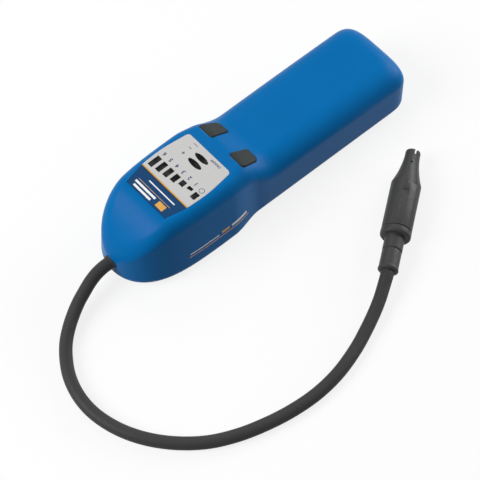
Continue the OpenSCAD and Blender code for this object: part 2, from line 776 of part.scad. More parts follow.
module pump_head() {
    half = pump_head_w/2;
    color([0.15, 0.15, 0.16]) on_pump() difference() {
        block([pump_x0, -half, -half], [pump_x1, half, half]);
        translate([pump_port_x, -half - over, pump_port_up]) rotate([-90, 0, 0])
            cylinder(d = air_d, h = pump_port_l + over);
    }
}
module pump_motor() {
    color([0.72, 0.73, 0.75]) on_pump() {
        rod(pump_x1, pump_x1 + motor_l, motor_d);
        rod(pump_x1 + motor_l, pump_x1 + motor_l + motor_boss_l, motor_d/3);
    }
}
module pump_clamp() {
    x = [cradle_at - cradle_t/2, cradle_at + cradle_t/2];
    color([0.2, 0.2, 0.2]) on_pump() difference() {
        union() {
            rod(x[0], x[1], motor_d + 2*(clamp_t + clamp_gap));
            block([x[0], -cradle_w/2, 0], [x[1], cradle_w/2, clamp_t]);
        }
        rod(x[0] - over, x[1] + over, motor_d + 2*run_fit);
        block([x[0] - over, -cradle_w, -motor_d], [x[1] + over, cradle_w, 0]);
    }
}

// Cell i of two rows and two layers, with caps to alternate ends
module battery_cell(i) {
    side = i%2 == 1 ? -1 : 1;
    z = layer_z[floor((i - 1)/2)];
    flip = (i == 1 || i == 4);
    x0 = cells_x[0] + (flip ? cap_l : 0);
    color([0.15, 0.2, 0.3]) {
        rod(x0, x0 + cell_l, cell_d, side*row_y, z);
        rod(flip ? cells_x[0] : x0 + cell_l, flip ? x0 : cells_x[1], cap_d, side*row_y, z);
    }
}
// A contact plate on one end wall of the bay, with a spring stud for each cell
module contacts(x_plate, x_stud) {
    x_face = x_plate + sign(x_stud - x_plate)*contact_t;
    color([0.8, 0.8, 0.82]) {
        block([min(x_plate, x_face), -row_y - contact_rim, layer_z[0] - contact_rim],
            [max(x_plate, x_face), row_y + contact_rim, layer_z[1] + contact_rim]);
        for (y = [-row_y, row_y], z = layer_z)
            rod(min(x_plate, x_stud), max(x_plate, x_stud), stud_d, y, z);
    }
}
module front_contacts() {
    contacts(at(bay_start), cells_x[0]);
}
module rear_contacts() {
    contacts(at(bay_end), cells_x[1]);
}

module gooseneck_anchor() {
    color([0.2, 0.2, 0.2]) difference() {
        union() {
            rod(at(-anchor_out), at(anchor_flange[0]), anchor_d, 0, exit_z);
            rod(at(anchor_flange[0]), at(anchor_flange[1]), anchor_flange_d, 0, exit_z);
            rod(at(anchor_flange[1]), at(spigot_end), spigot_d, 0, exit_z);
        }
        rod(at(-anchor_out - over), at(spigot_end + over), spigot_d/2, 0, exit_z);
    }
}
module anchor_screw() {
    color([0.5, 0.5, 0.52]) translate([at(grub_t), 0, exit_z - nose_boss_d/2 + 0.4])
        cylinder(d = grub_d, h = (nose_boss_d - anchor_d)/2 - 0.45);
}
module gooseneck() {
    color([0.2, 0.2, 0.2]) tube(neck_route, neck_d, 12);
}

module probe_sleeve() {
    r = sleeve_d/2;
    color([0.22, 0.22, 0.22]) on_probe()
        turned([[air_d/2, 0], [r, 0], [r + lip_h, lip_l/3], [r + lip_h, lip_l], [r, 2*lip_l],
            [r, sleeve_l - 0.3], [r - 0.3, sleeve_l], [air_d/2, sleeve_l]]);
}
module probe_neck() {
    r = sleeve_d/2 + 0.1;
    color([0.22, 0.22, 0.22]) on_probe()
        turned([[air_d/2, sleeve_l], [r - 0.3, sleeve_l], [r, sleeve_l + 0.3], [r, neck_front],
            [stub_d/2, neck_front], [stub_d/2, stub_front], [air_d/2, stub_front]]);
}
module probe_collar() {
    r = collar_d/2;
    color([0.22, 0.22, 0.22]) on_probe()
        turned([[stub_d/2 + run_fit, neck_front], [r - 2.2, neck_front], [r - 0.4, neck_front + 1.2],
            [r, neck_front + 2.4], [r, collar_front - 0.5], [r - 0.5, collar_front],
            [stub_d/2 + run_fit, collar_front]]);
}
module nozzle_seal() {
    color([0.1, 0.1, 0.1]) on_probe() translate([collar_front + seal_d/2 + run_fit, 0, 0]) rotate([0, 90, 0])
        rotate_extrude() translate([stub_d/2 + seal_d/2 + run_fit, 0]) circle(d = seal_d);
}
module filter_disc() {
    color([0.9, 0.9, 0.88]) on_probe() rod(filter_back, filter_back + filter_l, filter_d);
}
// Barrel and hollow-curved taper in one, with a saw cut across the tip and a flute beside each half of it
module probe_nozzle() {
    r = barrel_d/2;
    taper = nozzle_end - crown_l - nozzle_shoulder;
    curve = [for (i = [0:taper_steps])
        [tip_d/2 + (r - tip_d/2)*pow(1 - i/taper_steps, taper_power), nozzle_shoulder + taper*i/taper_steps]];
    filter_front = filter_back + filter_l;
    bore = [[mouth_d/2, nozzle_end], [mouth_d/2, nozzle_end - slot_l - 1],
        [channel_d/2, nozzle_end - slot_l - 2], [channel_d/2, filter_front],
        [filter_d/2 + loose_fit, filter_front], [filter_d/2 + loose_fit, stub_front + 0.4],
        [stub_d/2 + run_fit, stub_front + 0.4], [stub_d/2 + run_fit, nozzle_back + seal_room],
        [stub_d/2 + seal_d + 0.5, nozzle_back + seal_room], [stub_d/2 + seal_d + 0.5, nozzle_back]];
    flute = [[nozzle_shoulder + 1.5, r - 0.7], [nozzle_end - crown_l - 2, tip_d/2 + 0.1]];
    lean = atan((flute[0][1] - flute[1][1])/(flute[1][0] - flute[0][0]));
    color([0.22, 0.22, 0.22]) on_probe() difference() {
        turned(concat([[r - 0.5, nozzle_back], [r, nozzle_back + 0.5]], curve,
            [[tip_d/2, nozzle_end - 0.9], [tip_d/2 - 0.6, nozzle_end]], bore));
        rotate([flute_turn, 0, 0]) {
            block([nozzle_end - slot_l, -slot_w/2, -tip_d], [nozzle_end + over, slot_w/2, tip_d]);
            for (turn = [0, 180]) rotate([turn, 0, 0])
                translate([flute[0][0], 0, flute[0][1] + flute_d/2 - flute_depth]) rotate([0, 90 + lean, 0])
                    translate([0, 0, -3]) cylinder(d = flute_d, h = norm(flute[1] - flute[0]) + 4);
        }
    }
}

upper_housing();
lower_housing();
battery_door();
housing_screws();
face_label();
bar_lens();
mode_lens();
power_button();
mode_button();
power_plunger();
mode_plunger();
power_switch();
mode_switch();
key_board();
key_board_screws();
main_board();
board_screws();
led_bar();
mode_leds();
controller_chip();
buzzer();
inlet_tube();
sensor_cell();
infrared_lamp();
infrared_detector();
outlet_tube();
pump_head();
pump_motor();
pump_clamp();
for (i = [1:4]) battery_cell(i);
front_contacts();
rear_contacts();
gooseneck_anchor();
anchor_screw();
gooseneck();
probe_sleeve();
probe_neck();
probe_collar();
nozzle_seal();
filter_disc();
probe_nozzle();
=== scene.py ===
import math

import bmesh
import bpy
import numpy as np
from mathutils import Matrix, Vector


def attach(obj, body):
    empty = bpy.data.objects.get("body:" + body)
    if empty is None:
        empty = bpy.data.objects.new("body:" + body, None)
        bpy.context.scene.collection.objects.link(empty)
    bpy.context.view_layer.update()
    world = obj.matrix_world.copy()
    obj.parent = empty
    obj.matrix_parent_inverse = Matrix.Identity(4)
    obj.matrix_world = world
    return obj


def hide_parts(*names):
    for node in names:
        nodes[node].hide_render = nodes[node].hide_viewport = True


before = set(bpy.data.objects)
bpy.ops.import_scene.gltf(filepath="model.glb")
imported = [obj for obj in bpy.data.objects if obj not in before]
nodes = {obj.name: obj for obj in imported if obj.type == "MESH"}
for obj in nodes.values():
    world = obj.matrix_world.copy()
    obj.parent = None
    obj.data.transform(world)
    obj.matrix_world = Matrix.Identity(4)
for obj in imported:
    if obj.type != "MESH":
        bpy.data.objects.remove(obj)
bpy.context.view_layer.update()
mm = 0.001
scene = bpy.context.scene
scene.view_settings.view_transform = "Standard"
print("frame loaded:", len(nodes), "nodes")


def newObject(name, data):
    obj = bpy.data.objects.new(name, data)
    scene.collection.objects.link(obj)
    return obj


# camera of the photograph, with its lens and sensor in millimetres
shot = {"azimuth": -41.49, "elevation": 58.50, "distance": 1.2956, "aim": (-0.04616, -0.04331, 0.020),
        "lens": 157.13, "sensor": 36, "far": 30}


def placeCamera():
    az, el = math.radians(shot["azimuth"]), math.radians(shot["elevation"])
    back = Vector((math.sin(az) * math.cos(el), -math.cos(az) * math.cos(el), math.sin(el)))
    data = bpy.data.cameras.new("shotCamera")
    data.sensor_width = shot["sensor"]
    data.lens = shot["lens"]
    data.clip_end = shot["far"]
    obj = newObject("shotCamera", data)
    obj.location = Vector(shot["aim"]) + back * shot["distance"]
    obj.rotation_euler = back.to_track_quat("Z", "Y").to_euler()
    scene.camera = obj


placeCamera()
print("camera placed")


# mesh helpers, all in millimetres until the mesh is made
def newMesh(name, points, faces):
    mesh = bpy.data.meshes.new(name)
    mesh.from_pydata([[c * mm for c in p] for p in points], [], faces)
    mesh.update()
    return mesh


def reworked(mesh, work):
    bm = bmesh.new()
    bm.from_mesh(mesh)
    work(bm)
    bm.to_mesh(mesh)
    bm.free()
    return mesh


def shadeByAngle(mesh, degrees):
    limit = math.radians(degrees)

    def mark(bm):
        for f in bm.faces:
            f.smooth = True
        for e in bm.edges:
            e.smooth = len(e.link_faces) == 2 and e.calc_face_angle(0) < limit

    reworked(mesh, mark)


def outward(mesh):
    return reworked(mesh, lambda bm: bmesh.ops.recalc_face_normals(bm, faces=bm.faces))


# meshes added to a piece as further closed shells
def withShells(obj, meshes):
    reworked(obj.data, lambda bm: [bm.from_mesh(m) for m in meshes])


def bakedMesh(obj):
    return bpy.data.meshes.new_from_object(obj.evaluated_get(bpy.context.evaluated_depsgraph_get()))


def settled(obj):
    mesh = bakedMesh(obj)
    obj.modifiers.clear()
    obj.data = mesh


# the mesh of an object that was only needed to make it
def released(obj):
    mesh = obj.data
    bpy.data.objects.remove(obj)
    return mesh


def curveMesh(name, curve):
    obj = newObject(name, curve)
    mesh = bakedMesh(obj)
    bpy.data.objects.remove(obj)
    return mesh


def cutAway(obj, cutters):
    for c in cutters:
        m = obj.modifiers.new("cut", "BOOLEAN")
        m.object = c
        m.operation = "DIFFERENCE"
        m.solver = "EXACT"
    settled(obj)
    for c in cutters:
        bpy.data.objects.remove(c)


def softEdges(obj, width, degrees=40):
    m = obj.modifiers.new("softEdges", "BEVEL")
    m.width = width * mm
    m.segments = 2
    m.limit_method = "ANGLE"
    m.angle_limit = math.radians(degrees)


# a finish has its slot's name, unless another look is asked for
def dressed(obj, slotName, look=None):
    first, *rest = slotName.split("_")
    obj.data.materials.clear()
    obj.data.materials.append(finish[look or first + "".join(w.title() for w in rest)])


def fitPiece(obj, body, slotName, *replaced, look=None):
    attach(obj, body)
    dressed(obj, slotName, look)
    if replaced:
        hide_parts(*replaced)
    return obj


def joined(name, parts):
    points, faces = [], []
    for p, f in parts:
        base = len(points)
        points += [list(q) for q in p]
        faces += [[i + base for i in face] for face in f]
    return newMesh(name, points, faces)


def solidObject(name, parts, shade=None):
    mesh = outward(joined(name, parts))
    if shade:
        shadeByAngle(mesh, shade)
    return newObject(name, mesh)


def cutter(part):
    return solidObject("cutter", [part])


def shells(parts, edge):
    obj = solidObject("shells", parts)
    softEdges(obj, edge)
    settled(obj)
    return released(obj)


def circle(around):
    return [(math.cos(2 * math.pi * k / around), math.sin(2 * math.pi * k / around)) for k in range(around)]


def placed(points, place):
    return [tuple(place @ Vector(p)) for p in points] if place else points


# skin between rings of points that lie one after another
def ringFaces(count, around, closed=False):
    faces = []
    for i in range(count if closed else count - 1):
        j = (i + 1) % count
        for k in range(around):
            m = (k + 1) % around
            faces.append([i * around + k, i * around + m, j * around + m, j * around + k])
    return faces


def cappedFaces(count, around):
    end = [(count - 1) * around + k for k in range(around)]
    return [list(range(around))[::-1]] + ringFaces(count, around) + [end]


def prism(outline, low, high, place=None):
    n = len(outline)
    points = [(x, y, z) for z in (low, high) for x, y in outline]
    return placed(points, place), [list(range(n))[::-1], list(range(n, 2 * n))] + ringFaces(2, n)


def boxPart(low, high):
    return prism([(low[0], low[1]), (high[0], low[1]), (high[0], high[1]), (low[0], high[1])], low[2], high[2])


# corners (x, y, r) turned into arcs
def rounded(corners, steps):
    out = []
    n = len(corners)
    for i, (x, y, r) in enumerate(corners):
        p = np.array((x, y), float)
        if r <= 0:
            out.append((x, y))
            continue
        u = np.array(corners[(i - 1) % n][:2], float) - p
        v = np.array(corners[(i + 1) % n][:2], float) - p
        u, v = u / np.linalg.norm(u), v / np.linalg.norm(v)
        h = math.acos(max(-1, min(1, float(u @ v)))) / 2
        c = p + (u + v) / np.linalg.norm(u + v) * r / math.sin(h)
        a, b = p + u * r / math.tan(h) - c, p + v * r / math.tan(h) - c
        for k in range(steps + 1):
            d = a + (b - a) * k / steps
            q = c + d / np.linalg.norm(d) * r
            out.append((float(q[0]), float(q[1])))
    return out


# turned part: profile of (along, radius) about the local X axis
def turned(profile, around, place=None):
    points = [(s, r * c, r * d) for s, r in profile for c, d in circle(around)]
    return placed(points, place), ringFaces(len(profile), around, True)


# rod with closed ends along the local Z axis
def rodPart(radius, low, high, around, place):
    return prism([(radius * c, radius * d) for c, d in circle(around)], low, high, place)


def shift(x, y=0, z=0):
    return Matrix.Translation((x, y, z))


def turnBy(axis, degrees):
    return Matrix.Rotation(math.radians(degrees), 4, axis)


upright = turnBy("Y", -90)


# tube with an open bore along the local Z axis
def tubePart(outer, inner, low, high, place, around=40):
    return turned([(low, inner), (low, outer), (high, outer), (high, inner)], around, place @ upright)


# material helpers
midBand = (0.3, 0.7)  # middle of a noise, stretched to the full range


def newMaterial(name):
    mat = bpy.data.materials.new(name)
    mat.use_nodes = True
    tree = mat.node_tree
    return mat, tree, tree.nodes["Principled BSDF"]


# inputs take a link or a plain value
def fill(tree, node, values):
    for key, v in values.items():
        if isinstance(v, bpy.types.NodeSocket):
            tree.links.new(v, node.inputs[key])
        else:
            node.inputs[key].default_value = v
    return node


def addNode(tree, kind, values, **settings):
    n = tree.nodes.new(kind)
    for key, v in settings.items():
        setattr(n, key, v)
    return fill(tree, n, values)


def objectCoord(tree):
    return tree.nodes.new("ShaderNodeTexCoord").outputs["Object"]


def spots(tree, scale, detail=2.0, rough=0.5, stretch=(1, 1, 1)):
    scaled = {"Vector": objectCoord(tree), "Scale": stretch}
    mapped = addNode(tree, "ShaderNodeMapping", scaled).outputs["Vector"]
    values = {"Vector": mapped, "Scale": scale, "Detail": detail, "Roughness": rough}
    return addNode(tree, "ShaderNodeTexNoise", values).outputs["Fac"]


def cells(tree, scale, random, **settings):
    values = {"Vector": objectCoord(tree), "Scale": scale, "Randomness": random}
    return addNode(tree, "ShaderNodeTexVoronoi", values, **settings).outputs["Distance"]


def remap(tree, source, low, high, fromLow=0.0, fromHigh=1.0):
    values = {"Value": source, "From Min": fromLow, "From Max": fromHigh, "To Min": low, "To Max": high}
    return addNode(tree, "ShaderNodeMapRange", values).outputs["Result"]


def blendColor(tree, factor, a, b):
    ends = {key: (*v, 1) if isinstance(v, tuple) else v for key, v in ((6, a), (7, b))}
    return addNode(tree, "ShaderNodeMix", {0: factor, **ends}, data_type="RGBA").outputs[2]


def combined(tree, operation, a, b):
    return addNode(tree, "ShaderNodeMath", {0: a, 1: b}, operation=operation).outputs[0]


def raised(tree, height, strength, distance):
    values = {"Height": height, "Strength": strength, "Distance": distance}
    return addNode(tree, "ShaderNodeBump", values).outputs["Normal"]


def grey(v):
    return (v, v, v)


rubLook = {"from": 0.535, "to": 0.62, "most": 0.4, "paler": 0.07, "patch": (190, 4), "patchBand": (0.42, 0.62)}


# paler patches on outer edges, where handling rubs them
def rubbed(tree, color, tone):
    bend = tree.nodes.new("ShaderNodeNewGeometry").outputs["Pointiness"]
    edge = remap(tree, bend, 0, rubLook["most"], rubLook["from"], rubLook["to"])
    patch = remap(tree, spots(tree, *rubLook["patch"]), 0, 1, *rubLook["patchBand"])
    paler = tuple(c + rubLook["paler"] for c in tone)
    return blendColor(tree, combined(tree, "MULTIPLY", edge, patch), color, paler)


# moulded plastic: two tones, rubbed edges, a fine grain, and gloss that varies a little
def mouldedPlastic(name, tone, shade, gloss, grain=2600, depth=0.00002, strength=0.25, specular=0.4):
    mat, tree, bsdf = newMaterial(name)
    broad = spots(tree, 28, 3)
    fine = spots(tree, grain, 2)
    color = blendColor(tree, remap(tree, broad, 0, 1, *midBand), tone, shade)
    fill(tree, bsdf, {"Base Color": rubbed(tree, color, tone), "Specular IOR Level": specular,
                      "Roughness": remap(tree, fine, *gloss, *midBand),
                      "Normal": raised(tree, fine, strength, depth)})
    return mat


def workedMetal(name, tone, shade, gloss, stretch=(40, 1500, 1500)):
    mat, tree, bsdf = newMaterial(name)
    lines = spots(tree, 1, 3, 0.6, stretch)
    color = blendColor(tree, remap(tree, lines, 0, 1, *midBand), tone, shade)
    fill(tree, bsdf, {"Base Color": color, "Roughness": remap(tree, lines, *gloss, *midBand), "Metallic": 1.0,
                      "Normal": raised(tree, lines, 0.2, 0.00002)})
    return mat


# tone, shade, gloss; then grain, its depth and strength, and specular where they differ from the usual
plasticLook = {
    "caseBlue": ((0.001, 0.150, 0.425), (0.001, 0.143, 0.408), (0.30, 0.38), 2600, 0.00002, 0.25, 0.06),
    "keyGrey": ((0.043, 0.050, 0.051), (0.037, 0.044, 0.044), (0.5, 0.66), 1800, 0.00004, 0.4, 0.06),
    "probeGrey": (grey(0.052), grey(0.045), (0.40, 0.52), 2200, 0.00002, 0.25, 0.18),
    "neckBlack": (grey(0.044), grey(0.036), (0.42, 0.6), 1800, 0.00003, 0.3, 0.16),
    "fittingBlack": ((0.035, 0.035, 0.036), (0.028, 0.028, 0.029), (0.4, 0.55), 2200),
    "sealBlack": (grey(0.014), grey(0.02), (0.5, 0.7), 1500),
    "smokedWindow": (grey(0.008), grey(0.011), (0.3, 0.4), 900, 0.00001, 0.05, 0.02),
    "switchBlack": (grey(0.02), grey(0.03), (0.4, 0.55)),
    "switchWhite": ((0.7, 0.69, 0.64), (0.64, 0.63, 0.58), (0.35, 0.5)),
    "chipBlack": ((0.016, 0.016, 0.017), (0.024, 0.024, 0.025), (0.5, 0.65), 3000),
    "tubeClear": ((0.66, 0.66, 0.61), (0.6, 0.6, 0.55), (0.25, 0.4), 500),
    "pumpBlack": ((0.03, 0.03, 0.032), (0.04, 0.04, 0.042), (0.4, 0.55)),
    "lightDiffuser": ((0.72, 0.72, 0.69), (0.66, 0.66, 0.63), (0.3, 0.45), 1200),
    "filterWhite": ((0.78, 0.78, 0.76), (0.68, 0.68, 0.65), (0.8, 0.95), 900, 0.0003, 0.8, 0.2)}
metalLook = {
    "screwSteel": ((0.42, 0.42, 0.44), (0.5, 0.5, 0.52), (0.28, 0.42), grey(900)),
    "cellAlloy": ((0.62, 0.63, 0.65), (0.7, 0.71, 0.73), (0.3, 0.45)),
    "goldCan": ((0.75, 0.53, 0.22), (0.68, 0.47, 0.2), (0.2, 0.32)),
    "motorSteel": ((0.56, 0.57, 0.59), (0.63, 0.64, 0.66), (0.25, 0.4)),
    "contactNickel": ((0.66, 0.64, 0.6), (0.6, 0.58, 0.54), (0.22, 0.36), grey(600))}
caseSheen = (1.0, 0.4, 0.55, 1)


# fields along X: start in metres and the colour from there on
def fieldsAlong(tree, first, stops, soft=0.00006):
    along = addNode(tree, "ShaderNodeSeparateXYZ", {0: objectCoord(tree)}).outputs["X"]
    color = first
    for x, c in stops:
        color = blendColor(tree, remap(tree, along, 0, 1, x - soft, x + soft), color, c)
    return color


cellLook = {"steel": (0.55, 0.55, 0.57), "wrap": ((0.012, 0.013, 0.016), (0.02, 0.021, 0.025)),
            "band": (0.42, 0.24, 0.06), "bandMetal": 0.6, "ends": (0.0378, 0.0862), "bandAt": (0.0655, 0.0835),
            "gloss": (0.18, 0.34)}


# battery wrap: steel rims, a black sleeve and a copper band
def cellMaterial():
    mat, tree, bsdf = newMaterial("batteryWrap")
    starts = (cellLook["ends"][0], *cellLook["bandAt"], cellLook["ends"][1])
    wear = spots(tree, 220, 3)
    wrap = blendColor(tree, wear, *cellLook["wrap"])
    steel = cellLook["steel"]
    color = fieldsAlong(tree, steel, zip(starts, (wrap, cellLook["band"], wrap, steel)))
    metal = fieldsAlong(tree, grey(1), zip(starts, (grey(0), grey(cellLook["bandMetal"]), grey(0), grey(1))))
    fill(tree, bsdf, {"Base Color": color, "Metallic": metal, "Normal": raised(tree, wear, 0.08, 0.00004),
                      "Roughness": remap(tree, wear, *cellLook["gloss"], *midBand)})
    return mat


boardLook = {"mask": ((0.008, 0.075, 0.032), (0.012, 0.095, 0.04)), "track": (0.018, 0.155, 0.06),
             "pad": (0.55, 0.54, 0.5), "trackEdge": (0.05, 0.09), "padEdge": (0.13, 0.16),
             "gloss": (0.24, 0.36)}


# circuit board: green mask over squared tracks, with tinned pads
def boardMaterial():
    mat, tree, bsdf = newMaterial("boardGreen")
    line = remap(tree, cells(tree, 420.0, 0.55, feature="DISTANCE_TO_EDGE"), 1, 0, *boardLook["trackEdge"])
    dot = remap(tree, cells(tree, 330.0, 0.8, distance="CHEBYCHEV"), 1, 0, *boardLook["padEdge"])
    tone = blendColor(tree, spots(tree, 70, 3), *boardLook["mask"])
    color = blendColor(tree, dot, blendColor(tree, line, tone, boardLook["track"]), boardLook["pad"])
    gloss = remap(tree, spots(tree, 900, 2), *boardLook["gloss"], *midBand)
    fill(tree, bsdf, {"Base Color": color, "Metallic": dot, "Roughness": gloss,
                      "Normal": raised(tree, line, 0.15, 0.00004)})
    return mat


finish = {name: mouldedPlastic(name, *look) for name, look in plasticLook.items()}
finish.update({name: workedMetal(name, *look) for name, look in metalLook.items()})
finish.update(batteryWrap=cellMaterial(), boardGreen=boardMaterial())
caseTree = finish["caseBlue"].node_tree
fill(caseTree, caseTree.nodes["Principled BSDF"], {"Specular Tint": caseSheen})
print("finishes made:", len(finish))

# body, along t from the nose
bodyShape = {"length": 229.0, "headWide": 64.2, "neckWide": 56.4, "tailWide": 59.0, "headHigh": 54.0,
             "handleHigh": 43.5, "tailHigh": 40.3, "noseHigh": 26.4, "noseRun": 33.0, "nosePower": 1.8,
             "headRound": 7.5, "headDrop": 12.0, "noseCrisp": 0.4, "headLean": 3.2, "crownPower": 1.6,
             "handleRound": 14.3, "baseRound": 7.2, "wall": 2.4, "parting": 7.0, "exitZ": 15,
             "noseLong": 102.5, "noseFull": 5.45, "neckFrom": 74.8, "neckTo": 98.3, "neckBlend": 10.0,
             "tailCorner": 19.5, "tailFull": 3.85, "tailShrink": 0.6, "tailLeast": 3,
             "slopeFrom": 89.8, "slopeRun": 21.0, "slopeFillet": 4.0, "slopeCrest": 7.0, "slopeFoot": 14.0}
stationPlan = {"nose": 56, "head": 26, "slope": 48, "handle": 24, "tail": 40,
               "slopeRoom": (4, 8), "tailZone": 1.2}
bs = bodyShape
slopeRate = (bs["headHigh"] - bs["handleHigh"]) / (bs["slopeRun"] - bs["slopeFillet"])
slopeTo = bs["slopeFrom"] + bs["slopeRun"]


def at(t):
    return t - bs["length"] / 2


def placeAt(t, y, z=0):
    return shift(at(t), y, z)


def ease(v):
    c = np.clip(v, 0, 1)
    return c * c * (3 - 2 * c)


def neckShare(t):
    return ease((t - bs["neckFrom"]) / (bs["neckTo"] + bs["neckBlend"] - bs["neckFrom"]))


def roundAt(t):
    return bs["headRound"] + (bs["handleRound"] - bs["headRound"]) * neckShare(t)


def dropAt(t):
    crisp = 1 - bs["noseCrisp"] * (1 - ease(t / bs["noseRun"]))
    return crisp * (bs["headDrop"] + (bs["handleRound"] - bs["headDrop"]) * neckShare(t))


def leanAt(t):
    return bs["headLean"] * (1 - neckShare(t))


# how far the button slope has come down, with a soft crest and foot
def slopeFall(u):
    start, deep = bs["slopeFillet"] / 2, bs["slopeRun"] - bs["slopeFillet"]
    crest, foot = bs["slopeCrest"], bs["slopeFoot"]
    line = u - start
    rise = np.clip(line + crest / 2, 0, crest) ** 2 / (2 * crest)
    settle = np.clip(line - deep + foot / 2, 0, foot) ** 2 / (2 * foot)
    return (np.where(line < crest / 2, rise, np.clip(line, 0, deep + foot / 2))
            - np.where(line < deep + foot / 2, settle, foot / 2))


def topZ(t):
    t = np.asarray(t, float)
    tailFall = np.clip((t - slopeTo) / (bs["length"] - slopeTo), 0, 1) ** bs["crownPower"]
    noseFall = np.clip(1 - t / bs["noseRun"], 0, 1) ** bs["nosePower"]
    return (bs["headHigh"] - slopeRate * slopeFall(t - bs["slopeFrom"])
            - (bs["handleHigh"] - bs["tailHigh"]) * tailFall - (bs["headHigh"] - bs["noseHigh"]) * noseFall)


# half the width seen from above, d in from the skin at the sides, dn at the nose and dt at the tail
def planHalf(t, dn=0.0, dt=0.0, d=0.0):
    neckPart = ease((t - bs["neckFrom"]) / (bs["neckTo"] - bs["neckFrom"]))
    tailPart = np.clip((t - bs["neckTo"]) / (bs["length"] - bs["neckTo"]), 0, 1)
    side = (bs["headWide"] / 2 - d + (bs["neckWide"] - bs["headWide"]) / 2 * neckPart
            + (bs["tailWide"] - bs["neckWide"]) / 2 * tailPart)
    nose = np.clip(1 - (t - dn) / (bs["noseLong"] - dn), 0, 1)
    corner = max(bs["tailCorner"] - bs["tailShrink"] * dt, bs["tailLeast"])
    tail = np.clip(1 - (bs["length"] - dt - t) / corner, 0, 1)
    full = bs["tailFull"]
    return side * np.sqrt(1 - nose ** bs["noseFull"]) * (1 - tail ** full) ** (1 / full)


def stationList():
    sp, (before, after) = stationPlan, stationPlan["slopeRoom"]
    headEnd, slopeEnd = bs["slopeFrom"] - before, slopeTo + after
    tailZone = sp["tailZone"] * bs["tailCorner"]
    return np.concatenate([
        bs["noseRun"] * (np.arange(sp["nose"]) / sp["nose"]) ** 2,
        np.linspace(bs["noseRun"], headEnd, sp["head"], endpoint=False),
        np.linspace(headEnd, slopeEnd, sp["slope"], endpoint=False),
        np.linspace(slopeEnd, bs["length"] - tailZone, sp["handle"], endpoint=False),
        bs["length"] - tailZone * (1 - np.arange(sp["tail"] + 1) / sp["tail"]) ** 2])


stations = stationList()


def mirrored(x, y, z):
    y[0] = y[-1] = 0
    half = np.stack([x, y, z], 1)
    other = half[-2:0:-1] * np.array([1, -1, 1])
    return np.concatenate([half, other])


# outlines of the body at one level: straight flank, top rounding and bottom rounding
def flatLevel(d, z):
    t = d + (bs["length"] - 2 * d) * stations / bs["length"]
    return mirrored(at(t), planHalf(t, d, d, d), np.full(len(t), z))


def topLevel(off, degrees):
    a = math.radians(degrees)
    c, s = 1 - math.cos(a), 1 - math.sin(a)
    dn = off + (bs["headRound"] - off) * c
    dt = off + (bs["handleRound"] - off) * c
    t = dn + (bs["length"] - dn - dt) * stations / bs["length"]
    inset = off + leanAt(t) + (roundAt(t) - off) * c
    return mirrored(at(t), planHalf(t, dn, dt, inset), topZ(t) - off - (dropAt(t) - off) * s)


def baseLevel(off, degrees):
    r = bs["baseRound"] - off
    a = math.radians(degrees)
    return flatLevel(off + r * (1 - math.cos(a)), bs["baseRound"] + r * math.sin(a))


def partingAngle(off):
    return math.degrees(math.asin((bs["parting"] - bs["baseRound"]) / (bs["baseRound"] - off)))


# skin over level outlines, with the last one closed by a grid that is parts wide
def lofted(levels, parts=1):
    n = len(levels[0])
    half = n // 2
    last = n * (len(levels) - 1)
    strip = [[0, 1, n - 1]] + [[i, i + 1, n - i - 1, n - i] for i in range(1, half - 1)]
    strip.append([half - 1, half, half + 1])
    inner = [levels[-1][1:half] * np.array([1, 1 - 2 * k / parts, 1]) for k in range(1, parts)]
    rows = [[last + i] + [last + n + k * (half - 1) + i - 1 for k in range(parts - 1)] + [last + n - i]
            for i in range(1, half)]
    faces = [f[::-1] for f in strip] + ringFaces(len(levels), n)
    faces += [[last] + rows[0], [rows[-1][0], last + half] + rows[-1][:0:-1]]
    for row, after in zip(rows, rows[1:]):
        faces += [[row[k], after[k], after[k + 1], row[k + 1]] for k in range(parts)]
    return np.concatenate(levels + inner), faces


# face film and its windows, keys, and where they sit
filmShape = {"front": 30.5, "rear": 82.3, "y": 0.5, "recess": 0.35, "thick": 0.5, "gap": 0.1, "edge": 0.08,
             "sides": [(30.5, 17.9, 0.8), (46, 21.4, 40), (62, 22.1, 90), (82.3, 19.6, 2.6)],
             "barRear": 57.4, "barFirst": 18.1, "barPitch": 5.9, "barWide": 3.8, "barRound": 0.2,
             "bars": [8.9, 8.0, 7.2, 6.2, 4.4, 2.9, 5.2], "wedge": 0.9,
             "ovals": [70.0, 75.6], "ovalY": 0.5, "oval": (4.0, 11.4)}
keyShape = {"corners": [(-11, 8.1, 1.6), (-11, 20.9, 2.4), (5.2, 19.1, 3.4), (5.2, 8.7, 2.0)], "gap": 0.35,
            "midY": 14, "proud": 0.9, "crest": 0.4, "roll": 7.0, "rollFrom": 11.0, "rollSoft": 2, "edge": 0.9,
            "edgeSteps": 5, "ridgeSoft": 0.5, "lift": 0.05, "drops": (-3.6, -2.0, -1.0),
            "crown": (0.75, 0.5, 0.25, 0.08), "stem": (2, -6, -3.5), "stemX": -2.5,
            "tabs": [(-7, 3, 6.7, 9.5), (3.8, 6.6, 11, 14)], "tabLevels": (-3.59, -2.39)}
fs, ks = filmShape, keyShape
filmLow = bs["headHigh"] - fs["recess"]
filmTop = filmLow + fs["thick"]
slopeAngle = math.atan(slopeRate)
slopeMid = Vector((at(bs["slopeFrom"] + bs["slopeRun"] / 2), 0, (bs["headHigh"] + bs["handleHigh"]) / 2))
slopePlace = Matrix.Translation(slopeMid) @ Matrix.Rotation(slopeAngle, 4, "Y")


def filmOutline(shrink=0.0):
    corners = []
    for side, stops in ((-1, fs["sides"]), (1, fs["sides"][::-1])):
        for t, y, r in stops:
            ends = shrink if t < fs["front"] + 1 else -shrink if t > fs["rear"] - 1 else 0
            corners.append((at(t) + ends, fs["y"] + side * (y - shrink), r))
    return rounded(corners, 8)


